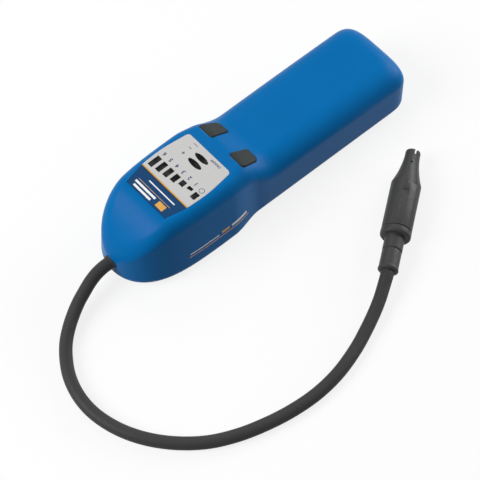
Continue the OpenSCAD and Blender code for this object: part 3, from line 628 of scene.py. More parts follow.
def keyOutline(side, grow=0.0):
    corners = []
    for x, y, r in ks["corners"]:
        outX, outY = -grow if x < 0 else grow, -grow if y < ks["midY"] else grow
        corners.append((x + outX, side * (y + outY), r + grow / 2))
    return rounded(corners if side > 0 else corners[::-1], 8)


# screws as (t, y), and the key board's along the slope
caseScrews = [(26, 14), (26, -14), (213, 14), (213, -14)]
boardScrews = [(t, y) for t in (38.2, 78.3) for y in (-15.3, 15.3)]
keyScrews = (-6, 3.2)
shellShape = {"arcStep": 5, "grid": 20, "above": 3, "windowDeep": 4, "barRoom": (0.85, 1.35, 20.2),
              "ovalRoom": (3.35, 7.55), "keyCut": (-6, 4), "edge": 0.25, "edgeFrom": 50, "innerEdge": 0.2,
              "shade": 38, "pilot": 1.45, "headBoss": (3.5, 47.2), "tailBoss": (3.5, 39),
              "boardBoss": (2.8, 42.3, 52.6), "keyBoss": (2.7, -12.3, -1.4), "noseBore": 4.95,
              "noseCut": (-2, 6), "noseBoss": (2.4, 14, 7.5)}
sh = shellShape


def upperCutters():
    top, deep = bs["headHigh"] + sh["above"], filmLow - sh["windowDeep"]
    front, rear, barY = sh["barRoom"]
    ovalX, ovalY = sh["ovalRoom"]
    low, high = at(fs["barRear"] - max(fs["bars"]) - front), at(fs["barRear"] + rear)
    cutters = [cutter(prism(filmOutline(), filmLow, top)),
               cutter(boxPart((low, -barY, deep), (high, barY, top)))]
    low, high = at(fs["ovals"][0] - ovalX), at(fs["ovals"][1] + ovalX)
    cutters.append(cutter(boxPart((low, -ovalY, deep), (high, ovalY, top))))
    cutters += [cutter(prism(keyOutline(side, ks["gap"]), *sh["keyCut"], slopePlace)) for side in (1, -1)]
    nose = placeAt(0, 0, bs["exitZ"]) @ turnBy("Y", 90)
    return cutters + [cutter(rodPart(sh["noseBore"], *sh["noseCut"], 64, nose))]


def upperBosses():
    bosses = []
    for t, y in caseScrews:
        r, top = sh["headBoss"] if t < bs["length"] / 2 else sh["tailBoss"]
        bosses.append(tubePart(r, sh["pilot"], bs["parting"], top, placeAt(t, y)))
    r, low, high = sh["boardBoss"]
    bosses += [tubePart(r, sh["pilot"], low, high, placeAt(t, y)) for t, y in boardScrews]
    r, low, high = sh["keyBoss"]
    bosses += [tubePart(r, sh["pilot"], low, high, slopePlace @ shift(x)) for x in keyScrews]
    low, high, r = sh["noseBoss"]
    ring = [(low, sh["noseBore"]), (low, r), (high, r), (high, sh["noseBore"])]
    return bosses + [turned(ring, 48, placeAt(0, 0, bs["exitZ"]))]


def completeShell(obj, cutters, forms):
    cutAway(obj, cutters)
    softEdges(obj, sh["edge"], sh["edgeFrom"])
    settled(obj)
    withShells(obj, [shells(forms, sh["innerEdge"])])
    shadeByAngle(obj.data, sh["shade"])


def upperHousing():
    angles = list(range(0, 91, sh["arcStep"]))
    w, parting = bs["wall"], partingAngle(0)
    levels = [topLevel(w, a) for a in angles[::-1]]
    levels += [flatLevel(w, bs["baseRound"]), baseLevel(w, partingAngle(w))]
    levels += [baseLevel(0, parting), baseLevel(0, parting / 2), flatLevel(0, bs["baseRound"])]
    levels += [topLevel(0, a) for a in angles]
    obj = newObject("upperHousing", newMesh("upperHousing", *lofted(levels, sh["grid"])))
    completeShell(obj, upperCutters(), upperBosses())
    # keeps the openings' edges from streaking the slope
    even = obj.modifiers.new("evenShade", "WEIGHTED_NORMAL")
    even.keep_sharp = True
    return obj


upper = upperHousing()
fitPiece(upper, "case", "case_blue", "upper_housing")
print("upper housing", len(upper.data.polygons), "faces")

bay = {"start": 148.0, "end": 206.0, "wide": 31.0, "wall": 1.6, "top": 32.85, "root": 0.1,
       "doorX": (36.4, 88.6), "doorWide": 30.2, "through": (-1, 4)}
pump = {"x": at(106), "z": 17.0, "motorR": 9.05, "headHalf": 11, "headY": (5, 17), "cradleHalf": 12.0,
        "cradleSpan": (4, 8), "floor": 1.2}
gasPosts = {"at": (48, 80), "half": (2, 7), "top": 22.3}
screwSeat = {"headR": 2.9, "outer": 3.5, "hole": 1.7, "floor": 3}


# battery tub, screw seats, posts of the gas cell and seats of the pump
def innerForms():
    x0, x1, y, w, top = at(bay["start"]), at(bay["end"]), bay["wide"] / 2, bay["wall"], bay["top"]
    low, floor, ss = bs["wall"] - bay["root"], pump["floor"], screwSeat
    parts = []
    for s in (-1, 1):
        mid = s * (y + w / 2)
        parts.append(boxPart((x0 - w, mid - w / 2, low), (x1 + w, mid + w / 2, top + w)))
    parts += [boxPart((x - w / 2, -y, low), (x + w / 2, y, top + w)) for x in (x0 - w / 2, x1 + w / 2)]
    parts.append(boxPart((x0, -y, top), (x1, y, top + w)))
    seat = [(low, ss["headR"]), (low, ss["outer"]), (bs["parting"], ss["outer"]), (bs["parting"], ss["hole"]),
            (ss["floor"], ss["hole"]), (ss["floor"], ss["headR"])]
    parts += [turned(seat, 40, placeAt(t, s) @ upright) for t, s in caseScrews]
    hx, hy = gasPosts["half"]
    parts += [boxPart((at(t) - hx, -hy, floor), (at(t) + hx, hy, gasPosts["top"])) for t in gasPosts["at"]]
    h, (y0, y1) = pump["headHalf"], pump["headY"]
    parts.append(boxPart((pump["x"] - h, y0, floor), (pump["x"] + h, y1, pump["z"] - h)))
    h, r = pump["cradleHalf"], pump["motorR"]
    notch = [(-h, floor), (h, floor), (h, pump["z"])]
    for a in range(0, 181, 10):
        notch.append((r * math.cos(math.radians(a)), pump["z"] - r * math.sin(math.radians(a))))
    notch.append((-h, pump["z"]))
    across = shift(pump["x"]) @ turnBy("X", 90)
    return parts + [prism(notch, *pump["cradleSpan"], across)]


def lowerHousing():
    steps = list(range(-90, -19, 10))
    w, inner = bs["wall"], partingAngle(bs["wall"])
    levels = [baseLevel(0, a) for a in steps] + [baseLevel(0, partingAngle(0)), baseLevel(w, inner)]
    levels += [baseLevel(w, a) for a in steps[::-1] if a < inner - 1]
    obj = newObject("lowerHousing", newMesh("lowerHousing", *lofted(levels)))
    (x0, x1), y, (low, high) = bay["doorX"], bay["doorWide"] / 2, bay["through"]
    cutters = [cutter(boxPart((x0, -y, low), (x1, y, high)))]
    cutters += [cutter(rodPart(screwSeat["headR"], low, high, 48, placeAt(t, s))) for t, s in caseScrews]
    completeShell(obj, cutters, innerForms())
    return obj


lower = lowerHousing()
fitPiece(lower, "case", "case_blue", "lower_housing")
print("lower housing", len(lower.data.polygons), "faces")

# printed film: navy front, a dark and an amber stripe, and a grey field
filmLook = {"navy": ((0.008, 0.053, 0.148), (0.010, 0.058, 0.158)), "ink": (0.02, 0.02, 0.022),
            "amber": ((0.66, 0.36, 0.08), (0.60, 0.33, 0.07)),
            "grey": ((0.60, 0.595, 0.59), (0.565, 0.56, 0.555)), "stripes": (44.9, 45.35, 46.3),
            "gloss": (0.42, 0.55), "specular": 0.08}


def filmMaterial():
    mat, tree, bsdf = newMaterial("labelFilm")
    fl = filmLook
    front = blendColor(tree, spots(tree, 90, 3), *fl["navy"])
    stripe = blendColor(tree, spots(tree, 120, 2), *fl["amber"])
    field = blendColor(tree, spots(tree, 60, 3), *fl["grey"])
    starts = [at(t) * mm for t in fl["stripes"]]
    grain = spots(tree, 2400, 2)
    fill(tree, bsdf, {"Base Color": fieldsAlong(tree, front, zip(starts, (fl["ink"], stripe, field))),
                      "Roughness": remap(tree, grain, *fl["gloss"], *midBand),
                      "Specular IOR Level": fl["specular"], "Normal": raised(tree, grain, 0.15, 0.00002)})
    return mat


# flat sheet with holes and softened edges
def flatCut(name, outlines, low, high, bevel):
    curve = bpy.data.curves.new(name, "CURVE")
    curve.dimensions = "2D"
    curve.fill_mode = "BOTH"
    for o in outlines:
        s = curve.splines.new("POLY")
        s.points.add(len(o) - 1)
        for p, (x, y) in zip(s.points, o):
            p.co = (x * mm, y * mm, 0, 1)
        s.use_cyclic_u = True
    curve.extrude = (high - low) / 2 * mm - bevel * mm
    curve.bevel_depth = bevel * mm
    curve.bevel_resolution = 1
    curve.offset = -bevel * mm
    mesh = curveMesh(name, curve)
    mesh.transform(Matrix.Translation((0, 0, (low + high) / 2 * mm)))
    return newObject(name, mesh)


def faceLabel():
    holes = []
    x1, w, r = at(fs["barRear"]), fs["barWide"] / 2, fs["barRound"]
    for i, size in enumerate(fs["bars"]):
        y = fs["barFirst"] - fs["barPitch"] * i
        cut = fs["wedge"] if i == len(fs["bars"]) - 2 else 0
        corners = [(x1 - size + cut, y - w, r), (x1, y - w, r), (x1, y + w, r), (x1 - size, y + w, r)]
        holes.append(rounded(corners, 3))
    a, b = fs["oval"][0] / 2, fs["oval"][1] / 2
    holes += [[(at(t) + a * c, fs["ovalY"] + b * d) for c, d in circle(48)] for t in fs["ovals"]]
    return flatCut("faceLabel", [filmOutline(fs["gap"])] + holes, filmLow, filmTop, fs["edge"])


label = faceLabel()
shadeByAngle(label.data, 30)
finish["labelFilm"] = filmMaterial()
fitPiece(label, "case", "label_film", "face_label")
print("face label")

# print on the film, read from the tail end: scale numbers, a ring, signs and words
# a rule is (t, low y, high y, width)
printShape = {"thick": 0.02, "bold": 0.03, "numbersX": -53.6, "numberSize": 3.9,
              "ring": (-54.3, -17.4, 1.9, 1.5), "minus": (-38.9, 11.2), "plus": (-44.5, 11.2),
              "signHalf": 1.1, "signThick": 0.5,
              "words": (-34.9, -8.2, 2.3), "dash": (-34.9, 10.6, 0.2, 2.0),
              "tanRules": [(37.6, -14.1, 15.1, 0.28)],
              "paleRules": [(41.2, -14.0, 9.5, 0.8), (35.4, -3.0, 15.5, 1.5), (32.6, -1.5, 14.0, 1.5)],
              "amberRules": [(34.3, -12.5, -6.0, 4.2)]}
inkLook = {"printInk": ((0.024, 0.036, 0.115), (0.03, 0.044, 0.13), (0.45, 0.6)),
           "tanInk": ((0.66, 0.40, 0.17), (0.60, 0.36, 0.15), (0.4, 0.55)),
           "paleInk": (grey(0.88), grey(0.84), (0.4, 0.55)),
           "amberInk": ((0.70, 0.36, 0.06), (0.64, 0.33, 0.05), (0.4, 0.55))}
inkGrain = (2400, 0.00001, 0.1, 0.3)
finish.update({name: mouldedPlastic(name, *look, *inkGrain) for name, look in inkLook.items()})


def printedText(body, size, x, y):
    curve = bpy.data.curves.new("printedText", "FONT")
    curve.body = body
    curve.size = size * mm
    curve.align_x = "CENTER"
    curve.align_y = "CENTER"
    curve.extrude = printShape["thick"] / 2 * mm
    curve.offset = printShape["bold"] * size * mm
    curve.resolution_u = 4
    mesh = curveMesh("printedText", curve)
    mesh.transform(Matrix.Translation((x * mm, y * mm, filmTop * mm)) @ turnBy("Z", 90))
    return mesh


def flatMark(x, y, halfX, halfY):
    t = printShape["thick"] / 2
    return boxPart((x - halfX, y - halfY, filmTop - t), (x + halfX, y + halfY, filmTop + t))


def labelPrint():
    pt = printShape
    t, stroke = pt["thick"] / 2, pt["signThick"] / 2
    x, y, outer, inner = pt["ring"]
    marks = [tubePart(outer, inner, filmTop - t, filmTop + t, shift(x, y), 64)]
    marks += [flatMark(*pt[sign], stroke, pt["signHalf"]) for sign in ("minus", "plus")]
    x, y = pt["plus"]
    side = (pt["signHalf"] + stroke) / 2
    marks += [flatMark(x + s * side, y, side - stroke, stroke) for s in (-1, 1)]
    obj = solidObject("labelPrint", marks + [flatMark(*pt["dash"])])
    count = len(fs["bars"]) - 1
    texts = [printedText(str(count - i), pt["numberSize"], pt["numbersX"], fs["barFirst"] - fs["barPitch"] * i)
             for i in range(count)]
    x, y, size = pt["words"]
    withShells(obj, texts + [printedText("ON/OFF", size, x, y)])
    return obj


def rules(name):
    return solidObject(name, [flatMark(at(t), (low + high) / 2, wide / 2, (high - low) / 2)
                              for t, low, high, wide in printShape[name]])


fitPiece(labelPrint(), "case", "label_film", look="printInk")
for tone in ("tan", "pale", "amber"):
    fitPiece(rules(tone + "Rules"), "case", "label_film", look=tone + "Ink")

# thin printed lines on the near flank, following the surface: ink, then start, stop, level and height
flankLines = {"tan": ("tanInk", 38.6, 87.6, 15.0, 0.75), "thin": ("paleInk", 39.5, 62.0, 17.6, 1.0),
              "amber": ("amberInk", 64.5, 70.5, 18.3, 2.2), "bold": ("paleInk", 72.5, 86.0, 18.3, 2.2)}
flankDepth = {"out": 0.03, "in": 0.1, "steps": 50}


def flankStripe(name, start, stop, z, high):
    points = []
    out, into = -flankDepth["out"], flankDepth["in"]
    for t in np.linspace(start, stop, flankDepth["steps"]):
        for dy, dz in ((into, -0.5), (out, -0.5), (out, 0.5), (into, 0.5)):
            level = z + dz * high
            share = (level - bs["baseRound"]) / (topZ(t) - dropAt(t) - bs["baseRound"])
            points.append((float(at(t)), dy - float(planHalf(t, d=leanAt(t) * share)), level))
    return solidObject(name, [(points, cappedFaces(flankDepth["steps"], 4))], 30)


for kind, (ink, *line) in flankLines.items():
    fitPiece(flankStripe(kind + "FlankLine", *line), "case", "case_blue", look=ink)
print("print on film and flank")


# height of a key's top over the slope: rolled off sideways, and blended into the head's crest
def keyTop(x, y):
    soft, k = ks["rollSoft"], ks["ridgeSoft"]
    roll = max(0.0, abs(y) - ks["rollFrom"])
    h = ks["proud"] - math.tan(math.radians(ks["roll"])) * (math.sqrt(roll * roll + soft * soft) - soft)
    ridge = (bs["headHigh"] + ks["crest"] - slopeMid.z + x * math.sin(slopeAngle)) / math.cos(slopeAngle)
    return -k * math.log(math.exp(-h / k) + math.exp(-ridge / k)) + ks["lift"]


# key caps: outline rings up the sides, rounded over, and a crowned top
def keyCap(name, side):
    outline = np.array(keyOutline(side))
    centre = outline.mean(0)
    lengths = np.linalg.norm(outline - centre, axis=1)

    def topRing(inset, share=1, drop=0):
        shrunk = [centre + (p - centre) * (1 - inset / size) * share for p, size in zip(outline, lengths)]
        return [(q[0], q[1], keyTop(*q) - drop) for q in shrunk]

    rings = [[(x, y, drop) for x, y in outline] for drop in ks["drops"]]
    for k in range(ks["edgeSteps"] + 1):
        a = math.radians(90 * k / ks["edgeSteps"])
        rings.append(topRing(ks["edge"] * (1 - math.cos(a)), drop=ks["edge"] * (1 - math.sin(a))))
    rings += [topRing(ks["edge"], share) for share in ks["crown"]]
    parts = [([slopePlace @ Vector(p) for r in rings for p in r], cappedFaces(len(rings), len(outline)))]
    parts.append(rodPart(*ks["stem"], 32, slopePlace @ shift(ks["stemX"], side * ks["midY"])))
    for x0, x1, *ends in ks["tabs"]:
        y0, y1 = sorted(side * y for y in ends)
        parts.append(prism([(x0, y0), (x1, y0), (x1, y1), (x0, y1)], *ks["tabLevels"], slopePlace))
    return solidObject(name, parts, 50)


fitPiece(keyCap("powerKey", -1), "power_key", "key_grey", "power_button")
fitPiece(keyCap("modeKey", 1), "mode_key", "key_grey", "mode_button")
print("keys")

# gooseneck: smooth line through its route, with fine ribs round it
neckShape = {"diameter": 8.0, "cover": 0.2, "swell": (0.15, 16.0), "rib": 1.6, "ribDepth": 0.10, "step": 0.4,
             "around": 28, "lead": 5, "smooth": 24}
neckStops = ([(-1.2, 0, bs["exitZ"]), (-6.2, 0, bs["exitZ"]), (-12.5, -0.6, 14.2), (-18.5, -2, 13),
              (-24.5, -4, 11.4), (-31, -6.4, 9.6), (-38, -9.9, 7.8), (-45.5, -14.6, 6.1), (-53, -20.8, 4.8)]
             + [(x, y, 4) for x, y in [
                 (-59.5, -28.6), (-66, -39.6), (-70, -52), (-71.2, -65), (-69.5, -77.6), (-65, -91),
                 (-57.5, -104.2), (-46.5, -117.2), (-32.5, -128.6), (-16.5, -136.8), (0.5, -142.4),
                 (18.5, -146.2), (37.5, -147.7), (56.5, -146), (75.5, -141)]]
             + [(90.5, -135.2, 4.6), (102.5, -129.9, 5.9), (110.5, -125.8, 7.2), (117.5, -121.6, 8.5)])
probeSeat = {"angle": 36.0, "entry": (13.1, -114.9, 9.85)}
probeTurn = turnBy("Z", probeSeat["angle"])
probeDir = Vector((math.cos(math.radians(probeSeat["angle"])), math.sin(math.radians(probeSeat["angle"])), 0))
probeEntry = Vector(probeSeat["entry"])
probePlace = Matrix.Translation(probeEntry) @ probeTurn


def neckLine():
    lead, steps = neckShape["lead"], neckShape["smooth"]
    stops = [Vector((at(x), y, z)) for x, y, z in neckStops] + [probeEntry - lead * probeDir, probeEntry]
    ends = [stops[0] + Vector((lead, 0, 0))] + stops + [probeEntry + lead * probeDir]
    line = []
    for i in range(1, len(ends) - 2):
        a, b, c, d = ends[i - 1:i + 3]
        ta, tb, tc = (b - a).length ** 0.5, (c - b).length ** 0.5, (d - c).length ** 0.5
        m1 = (b - a) / ta - (c - a) / (ta + tb) + (c - b) / tb
        m2 = (c - b) / tb - (d - b) / (tb + tc) + (d - c) / tc
        m1, m2 = m1 * tb, m2 * tb
        for k in range(steps):
            s = k / steps
            line.append(b * (2 * s ** 3 - 3 * s ** 2 + 1) + m1 * (s ** 3 - 2 * s ** 2 + s)
                        + c * (3 * s ** 2 - 2 * s ** 3) + m2 * (s ** 3 - s ** 2))
    line.append(probeEntry)
    for p in line:
        p.z = max(p.z, neckShape["diameter"] / 2 + neckShape["cover"])
    return line


def evenly(line, step):
    d = [0.0]
    for a, b in zip(line, line[1:]):
        d.append(d[-1] + (b - a).length)
    xs = np.linspace(0, d[-1], int(round(d[-1] / step)) + 1)
    cols = [np.interp(xs, d, [p[i] for p in line]) for i in range(3)]
    return [Vector(p) for p in zip(*cols)], d[-1]


def gooseneck():
    ns = neckShape
    line, length = evenly(neckLine(), ns["step"])
    points = []
    for i, p in enumerate(line):
        t = (line[min(i + 1, len(line) - 1)] - line[max(i - 1, 0)]).normalized()
        s = Vector((0, 0, 1)).cross(t).normalized()
        n = t.cross(s)
        dip = (0.5 - 0.5 * math.cos(2 * math.pi * (i * ns["step"] / ns["rib"]))) ** 2
        r = ns["diameter"] / 2 + ns["cover"] - ns["ribDepth"] * dip
        r += ns["swell"][0] * float(ease(1 - (length - i * ns["step"]) / ns["swell"][1]))
        points += [p + (s * c + n * d) * r for c, d in circle(ns["around"])]
    return solidObject("gooseneck", [(points, cappedFaces(len(line), ns["around"]))], 60), line, length


neck, neckPath, neckLength = gooseneck()
fitPiece(neck, "case", "neck_black", "gooseneck")
print("gooseneck", round(neckLength, 1), "mm")


# probe pieces behind the nozzle, turned, along s from the gooseneck's end
probeShape = {"start": -2.5, "seatR": 4.4, "sleeveR": 6.25, "lip": (0.3, 1.4), "lipFoot": (1.0, 0.7),
              "sleeveEnd": 12.4, "groove": (0.5, 0.6), "neckUp": 0.1, "neckEnd": 22.6, "airR": 1.5,
              "stubR": 5.3, "stubEnd": 36.3, "stubGap": 0.05, "collarR": 9.85, "collarEnd": 27.3,
              "collarEdge": [(0, 1.1, 0.3), (1.0, 0.1, 0.5), (2.0, 0, 0.5)], "collarRim": 0.5}
pb = probeShape


# corners are (s, radius, rounding)
def turnedPiece(name, corners, node):
    obj = solidObject(name, [turned(rounded(corners, 4), 96, probePlace)], 32)
    return fitPiece(obj, "case", "probe_grey", node)


def probeSleeve():
    start, end, r, seat, air = pb["start"], pb["sleeveEnd"], pb["sleeveR"], pb["seatR"], pb["airR"]
    (up, long), (foot, flat), (half, deep) = pb["lip"], pb["lipFoot"], pb["groove"]
    lip = [(start, r - foot, 0.3), (start + long * flat, r + up, 0.5), (start + long, r + up, 0.4),
           (start + 2 * long, r, 0.8)]
    groove = [(end - half, r, 0.2), (end, r - deep, 0.1)]
    bore = [(end, air, 0), (0, air, 0), (0, seat, 0)]
    return turnedPiece("probeSleeve", [(start, seat, 0)] + lip + groove + bore, "probe_sleeve")


def probeNeck():
    start, end, stubEnd, stub, air = pb["sleeveEnd"], pb["neckEnd"], pb["stubEnd"], pb["stubR"], pb["airR"]
    r, (half, deep) = pb["sleeveR"], pb["groove"]
    barrel = [(start, r - deep, 0.1), (start + half, r + pb["neckUp"], 0.2), (end, r + pb["neckUp"], 0)]
    spigot = [(end, stub, 0), (stubEnd, stub, 0.3), (stubEnd, air, 0)]
    return turnedPiece("probeNeck", [(start, air, 0)] + barrel + spigot, "probe_neck")


def probeCollar():
    start, end, r, rim = pb["neckEnd"], pb["collarEnd"], pb["collarR"], pb["collarRim"]
    bore = pb["stubR"] + pb["stubGap"]
    front = [(start + s, r - d, turn) for s, d, turn in pb["collarEdge"]]
    rear = [(end - rim, r, 0.3), (end, r - rim, 0.2), (end, bore, 0)]
    return turnedPiece("probeCollar", [(start, bore, 0)] + front + rear, "probe_collar")


# nozzle along s: its edges and mouth are steps in from the end, its rooms are stops of the bore
nozzleShape = {"start": 27.6, "barrelR": 9.7, "edge": [(0, 0.6), (0.17, 0.18), (0.6, 0)], "shoulder": 62.5,
               "straight": 1, "tip": 88.5, "crown": 2.5, "tipR": 4.9,
               "tipEdge": [(0.9, 0), (0.3, 0.2), (0, 0.75)], "power": 1.8, "taperSteps": 40,
               "mouth": [(0, 2.8), (4.4, 2.8), (5.4, 2.25)],
               "rooms": [(40.7, 2.25), (40.7, 6.55), (36.7, 6.55), (36.7, 5.35), (29.2, 5.35), (29.2, 7.3),
                         (27.6, 7.3)],
               "slot": (1.7, 3.4), "slotReach": 12, "past": 2, "fluteD": 12.0, "fluteDepth": (1.5, 0.6),
               "fluteRoom": (2.5, 1), "fluteTurn": 27.0, "pip": (52.2, 2.3, 0.45), "hole": (78.0, 0.75),
               "markTurn": 6.0, "soft": 0.2}
nz = nozzleShape


def taperR(share):
    return nz["tipR"] + (nz["barrelR"] - nz["tipR"]) * (1 - share) ** nz["power"]


# groove along the taper, shallower towards the tip
def flutePart(place, count=24, around=72):
    big, (foot, top), (before, after) = nz["fluteD"] / 2, nz["fluteDepth"], nz["fluteRoom"]
    taper = nz["tip"] - nz["crown"] - nz["shoulder"]
    stops = [(nz["shoulder"] - before, 0)]
    stops += [(nz["shoulder"] + taper * i / count, i / count) for i in range(count + 1)]
    stops.append((nz["tip"] + after, 1))
    points = []
    for s, share in stops:
        z = taperR(share) + big - foot - (top - foot) * share
        points += [(s, big * c, z + big * d) for c, d in circle(around)]
    return placed(points, place), cappedFaces(len(stops), around)


def probeNozzle():
    r, tip, steps = nz["barrelR"], nz["tip"], nz["taperSteps"]
    taper = tip - nz["crown"] - nz["shoulder"]
    profile = [(nz["start"] + s, r - d) for s, d in nz["edge"]] + [(nz["shoulder"] - nz["straight"], r)]
    profile += [(nz["shoulder"] + taper * i / steps, taperR(i / steps)) for i in range(steps + 1)]
    profile += [(tip - s, nz["tipR"] - d) for s, d in nz["tipEdge"]] + [(tip - s, d) for s, d in nz["mouth"]]
    obj = solidObject("probeNozzle", [turned(profile + nz["rooms"], 128)])
    wide, deep = nz["slot"]
    reach, past = nz["slotReach"], nz["past"]
    cutters = [cutter(boxPart((tip - deep, -wide / 2, -reach), (tip + past, wide / 2, reach)))]
    cutters += [cutter(flutePart(turnBy("X", half))) for half in (0, 180)]
    for c in cutters:
        c.data.transform(turnBy("X", nz["fluteTurn"]))
    mark = turnBy("X", nz["markTurn"])
    s, wide, deep = nz["pip"]
    cutters.append(cutter(rodPart(wide, r - deep, r + past, 48, mark @ shift(s))))
    s, wide = nz["hole"]
    cutters.append(cutter(rodPart(wide, 0, r, 32, mark @ shift(s))))
    cutAway(obj, cutters)
    obj.data.transform(Matrix.Translation(probeEntry * mm) @ probeTurn)
    softEdges(obj, nz["soft"])
    settled(obj)
    shadeByAngle(obj.data, 34)
    return fitPiece(obj, "nozzle", "probe_grey", "probe_nozzle")


sleeve, collarNeck, collar = probeSleeve(), probeNeck(), probeCollar()
nozzle = probeNozzle()
print("probe")

# screws: pan head with a cross recess, and a threaded shank
screwShape = {"head": 1.9, "headStops": [(-1.9, 2.05), (-1.74, 2.44), (-1.35, 2.6), (-0.1, 2.6), (0, 2.5)],
              "shankR": 1.4, "rootR": 1.12, "plain": 1.2, "pitch": 0.9, "thread": (0.3, 0.55, 0.8),
              "runOut": 0.8, "point": (0.5, 0.5), "recess": (3.0, 0.75, 1.1), "spin": (0.5, 0.8),
              "caseShank": 15, "boardShank": 6.6, "boardSeat": 40.7, "keyShank": 5.6, "keySeat": -13.89}


def screwMesh(shank):
    sc = screwShape
    head, shankR, rootR = sc["head"], sc["shankR"], sc["rootR"]
    z, (fall, low, rise), (taper, tipR) = sc["plain"], sc["thread"], sc["point"]
    stops = sc["headStops"] + [(0, shankR), (z, shankR)]
    while z + sc["pitch"] < shank - sc["runOut"]:
        stops += [(z + fall, rootR), (z + low, rootR), (z + rise, shankR), (z + sc["pitch"], shankR)]
        z += sc["pitch"]
    stops += [(shank - taper, rootR), (shank, tipR)]
    points = [(r * c, r * d, h) for h, r in stops for c, d in circle(40)]
    obj = solidObject("screw", [(points, cappedFaces(len(stops), 40))])
    size, wide, deep = sc["recess"]
    cutAway(obj, [cutter(boxPart((-x / 2, -y / 2, -head - 1), (x / 2, y / 2, -head + deep)))
                  for x, y in ((size, wide), (wide, size))])
    return released(obj)


def screwSet(name, shank, places, node):
    base = screwMesh(shank)
    obj = newObject(name, bpy.data.meshes.new(name))
    first, more = screwShape["spin"]
    for i, place in enumerate(places):
        m = base.copy()
        spun = place @ Matrix.Rotation(first + more * i, 4, "Z")
        spun.translation *= mm
        m.transform(spun)
        withShells(obj, [m])
    shadeByAngle(obj.data, 32)
    fitPiece(obj, "case", "screw_steel", node)


casePlaces = [placeAt(t, y, screwSeat["floor"]) for t, y in caseScrews]
boardPlaces = [placeAt(t, y, screwShape["boardSeat"]) for t, y in boardScrews]
keyPlaces = [slopePlace @ shift(x, 0, screwShape["keySeat"]) for x in keyScrews]
screwSet("caseScrews", screwShape["caseShank"], casePlaces, "housing_screws")
screwSet("boardScrews", screwShape["boardShank"], boardPlaces, "board_screws")
screwSet("keyBoardScrews", screwShape["keyShank"], keyPlaces, "key_board_screws")
print("screws")

# pieces kept from the solids, by slot, and how far each one's edges are softened
keptPieces = {
    "case_blue": {"battery_door": 0.25}, "smoked_window": {"bar_lens": 0.15, "mode_lens": 0.15},
    "switch_white": {"power_plunger": 0.2, "mode_plunger": 0.2},
    "switch_black": {"power_switch": 0.25, "mode_switch": 0.25},
    "board_green": {"key_board": 0.1, "main_board": 0.1},
    "screw_steel": {"anchor_screw": 0.15}, "light_diffuser": {"led_bar": 0.3, "mode_leds": 0.3},
    "chip_black": {"controller_chip": 0.12, "buzzer": 0.4}, "tube_clear": {"inlet_tube": 0, "outlet_tube": 0},
    "cell_alloy": {"sensor_cell": 0.3}, "gold_can": {"infrared_lamp": 0.4, "infrared_detector": 0.4},
    "pump_black": {"pump_head": 0.5, "pump_clamp": 0.2}, "motor_steel": {"pump_motor": 0.5},
    "contact_nickel": {"front_contacts": 0.15, "rear_contacts": 0.15},
    "fitting_black": {"gooseneck_anchor": 0.25}, "seal_black": {"nozzle_seal": 0},
    "filter_white": {"filter_disc": 0.3},
    "battery_wrap": {f"battery_cell_{i}": 0.5 for i in range(1, 5)}}


def dressKept(name, slotName, edge):
    obj = nodes[name]
    for f in obj.data.polygons:
        f.use_smooth = True
    if edge:
        softEdges(obj, edge, 35)
    smooth = obj.modifiers.new("smoothByAngle", "EDGE_SPLIT")
    smooth.split_angle = math.radians(40)
    dressed(obj, slotName)


for slotName, edges in keptPieces.items():
    for name, edge in edges.items():
        dressKept(name, slotName, edge)
print("kept pieces dressed:", sum(len(edges) for edges in keptPieces.values()))

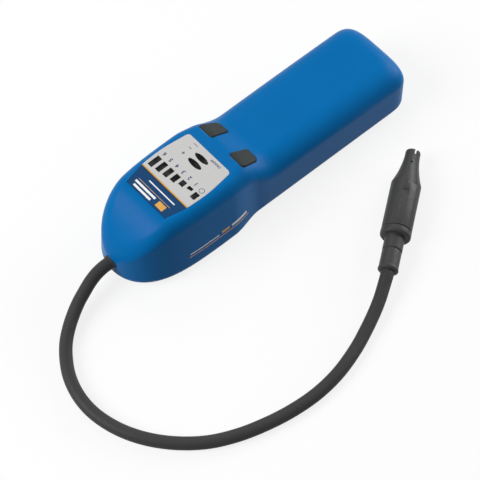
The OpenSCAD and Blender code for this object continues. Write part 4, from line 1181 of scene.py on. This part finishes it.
# floor and light; a lamp is its direction, distance, size and power
studio = {"floorZ": -0.1, "reach": 4000, "floor": grey(0.95), "uneven": 0.01,
          "bounce": (0.22, 0.22, 0.23), "glow": 0.82, "aim": (-0.02, -0.04, 0.02), "world": 0.20,
          "lamps": {"left": ((-0.73, 0.28, 0.62), 1.6, 1.0, 21.0),
                    "overhead": ((0.20, 0.60, 0.78), 1.7, 0.6, 3.6),
                    "right": ((0.93, -0.04, 0.30), 1.6, 1.2, 20.0),
                    "front": ((0.82, -0.50, 0.25), 1.6, 0.38, 2.8)}}


# 1 where a ray shows the background: to the camera, in a reflection or through a clear piece
def shownTo(tree):
    path = tree.nodes.new("ShaderNodeLightPath")
    seen = path.outputs["Is Camera Ray"]
    for kind in ("Is Glossy Ray", "Is Transmission Ray"):
        seen = combined(tree, "MAXIMUM", seen, path.outputs[kind])
    return seen


# the floor shows near white with a soft shadow, and throws little light back
def makeFloor():
    far, z = studio["reach"], studio["floorZ"]
    mesh = newMesh("floor", [(-far, -far, z), (far, -far, z), (far, far, z), (-far, far, z)], [[0, 1, 2, 3]])
    obj = newObject("floor", mesh)
    mat, tree, bsdf = newMaterial("floorWhite")
    seen = shownTo(tree)
    duller = tuple(c - studio["uneven"] for c in studio["floor"])
    tone = blendColor(tree, spots(tree, 9, 3), studio["floor"], duller)
    color = blendColor(tree, seen, studio["bounce"], tone)
    fill(tree, bsdf, {"Base Color": color, "Roughness": 0.9, "Specular IOR Level": 0.0})
    glow = addNode(tree, "ShaderNodeEmission", {"Strength": 1.0})
    ends = {1: bsdf.outputs[0], 2: glow.outputs[0]}
    mixed = addNode(tree, "ShaderNodeMixShader", {0: remap(tree, seen, 0, studio["glow"]), **ends})
    tree.links.new(mixed.outputs[0], tree.nodes["Material Output"].inputs["Surface"])
    mesh.materials.append(mat)


def makeLights():
    for name, (direction, away, size, power) in studio["lamps"].items():
        data = bpy.data.lights.new(name, "AREA")
        data.shape = "DISK"
        data.size = size
        data.energy = power
        obj = newObject(name, data)
        obj.location = Vector(studio["aim"]) + away * Vector(direction).normalized()
        obj.rotation_euler = Vector(direction).to_track_quat("Z", "Y").to_euler()
    world = bpy.data.worlds.new("studio")
    scene.world = world
    world.use_nodes = True
    tree = world.node_tree
    strength = remap(tree, shownTo(tree), studio["world"], 1.0)
    fill(tree, tree.nodes["Background"], {"Strength": strength, "Color": (1, 1, 1, 1)})


makeFloor()
makeLights()
print("floor and light")
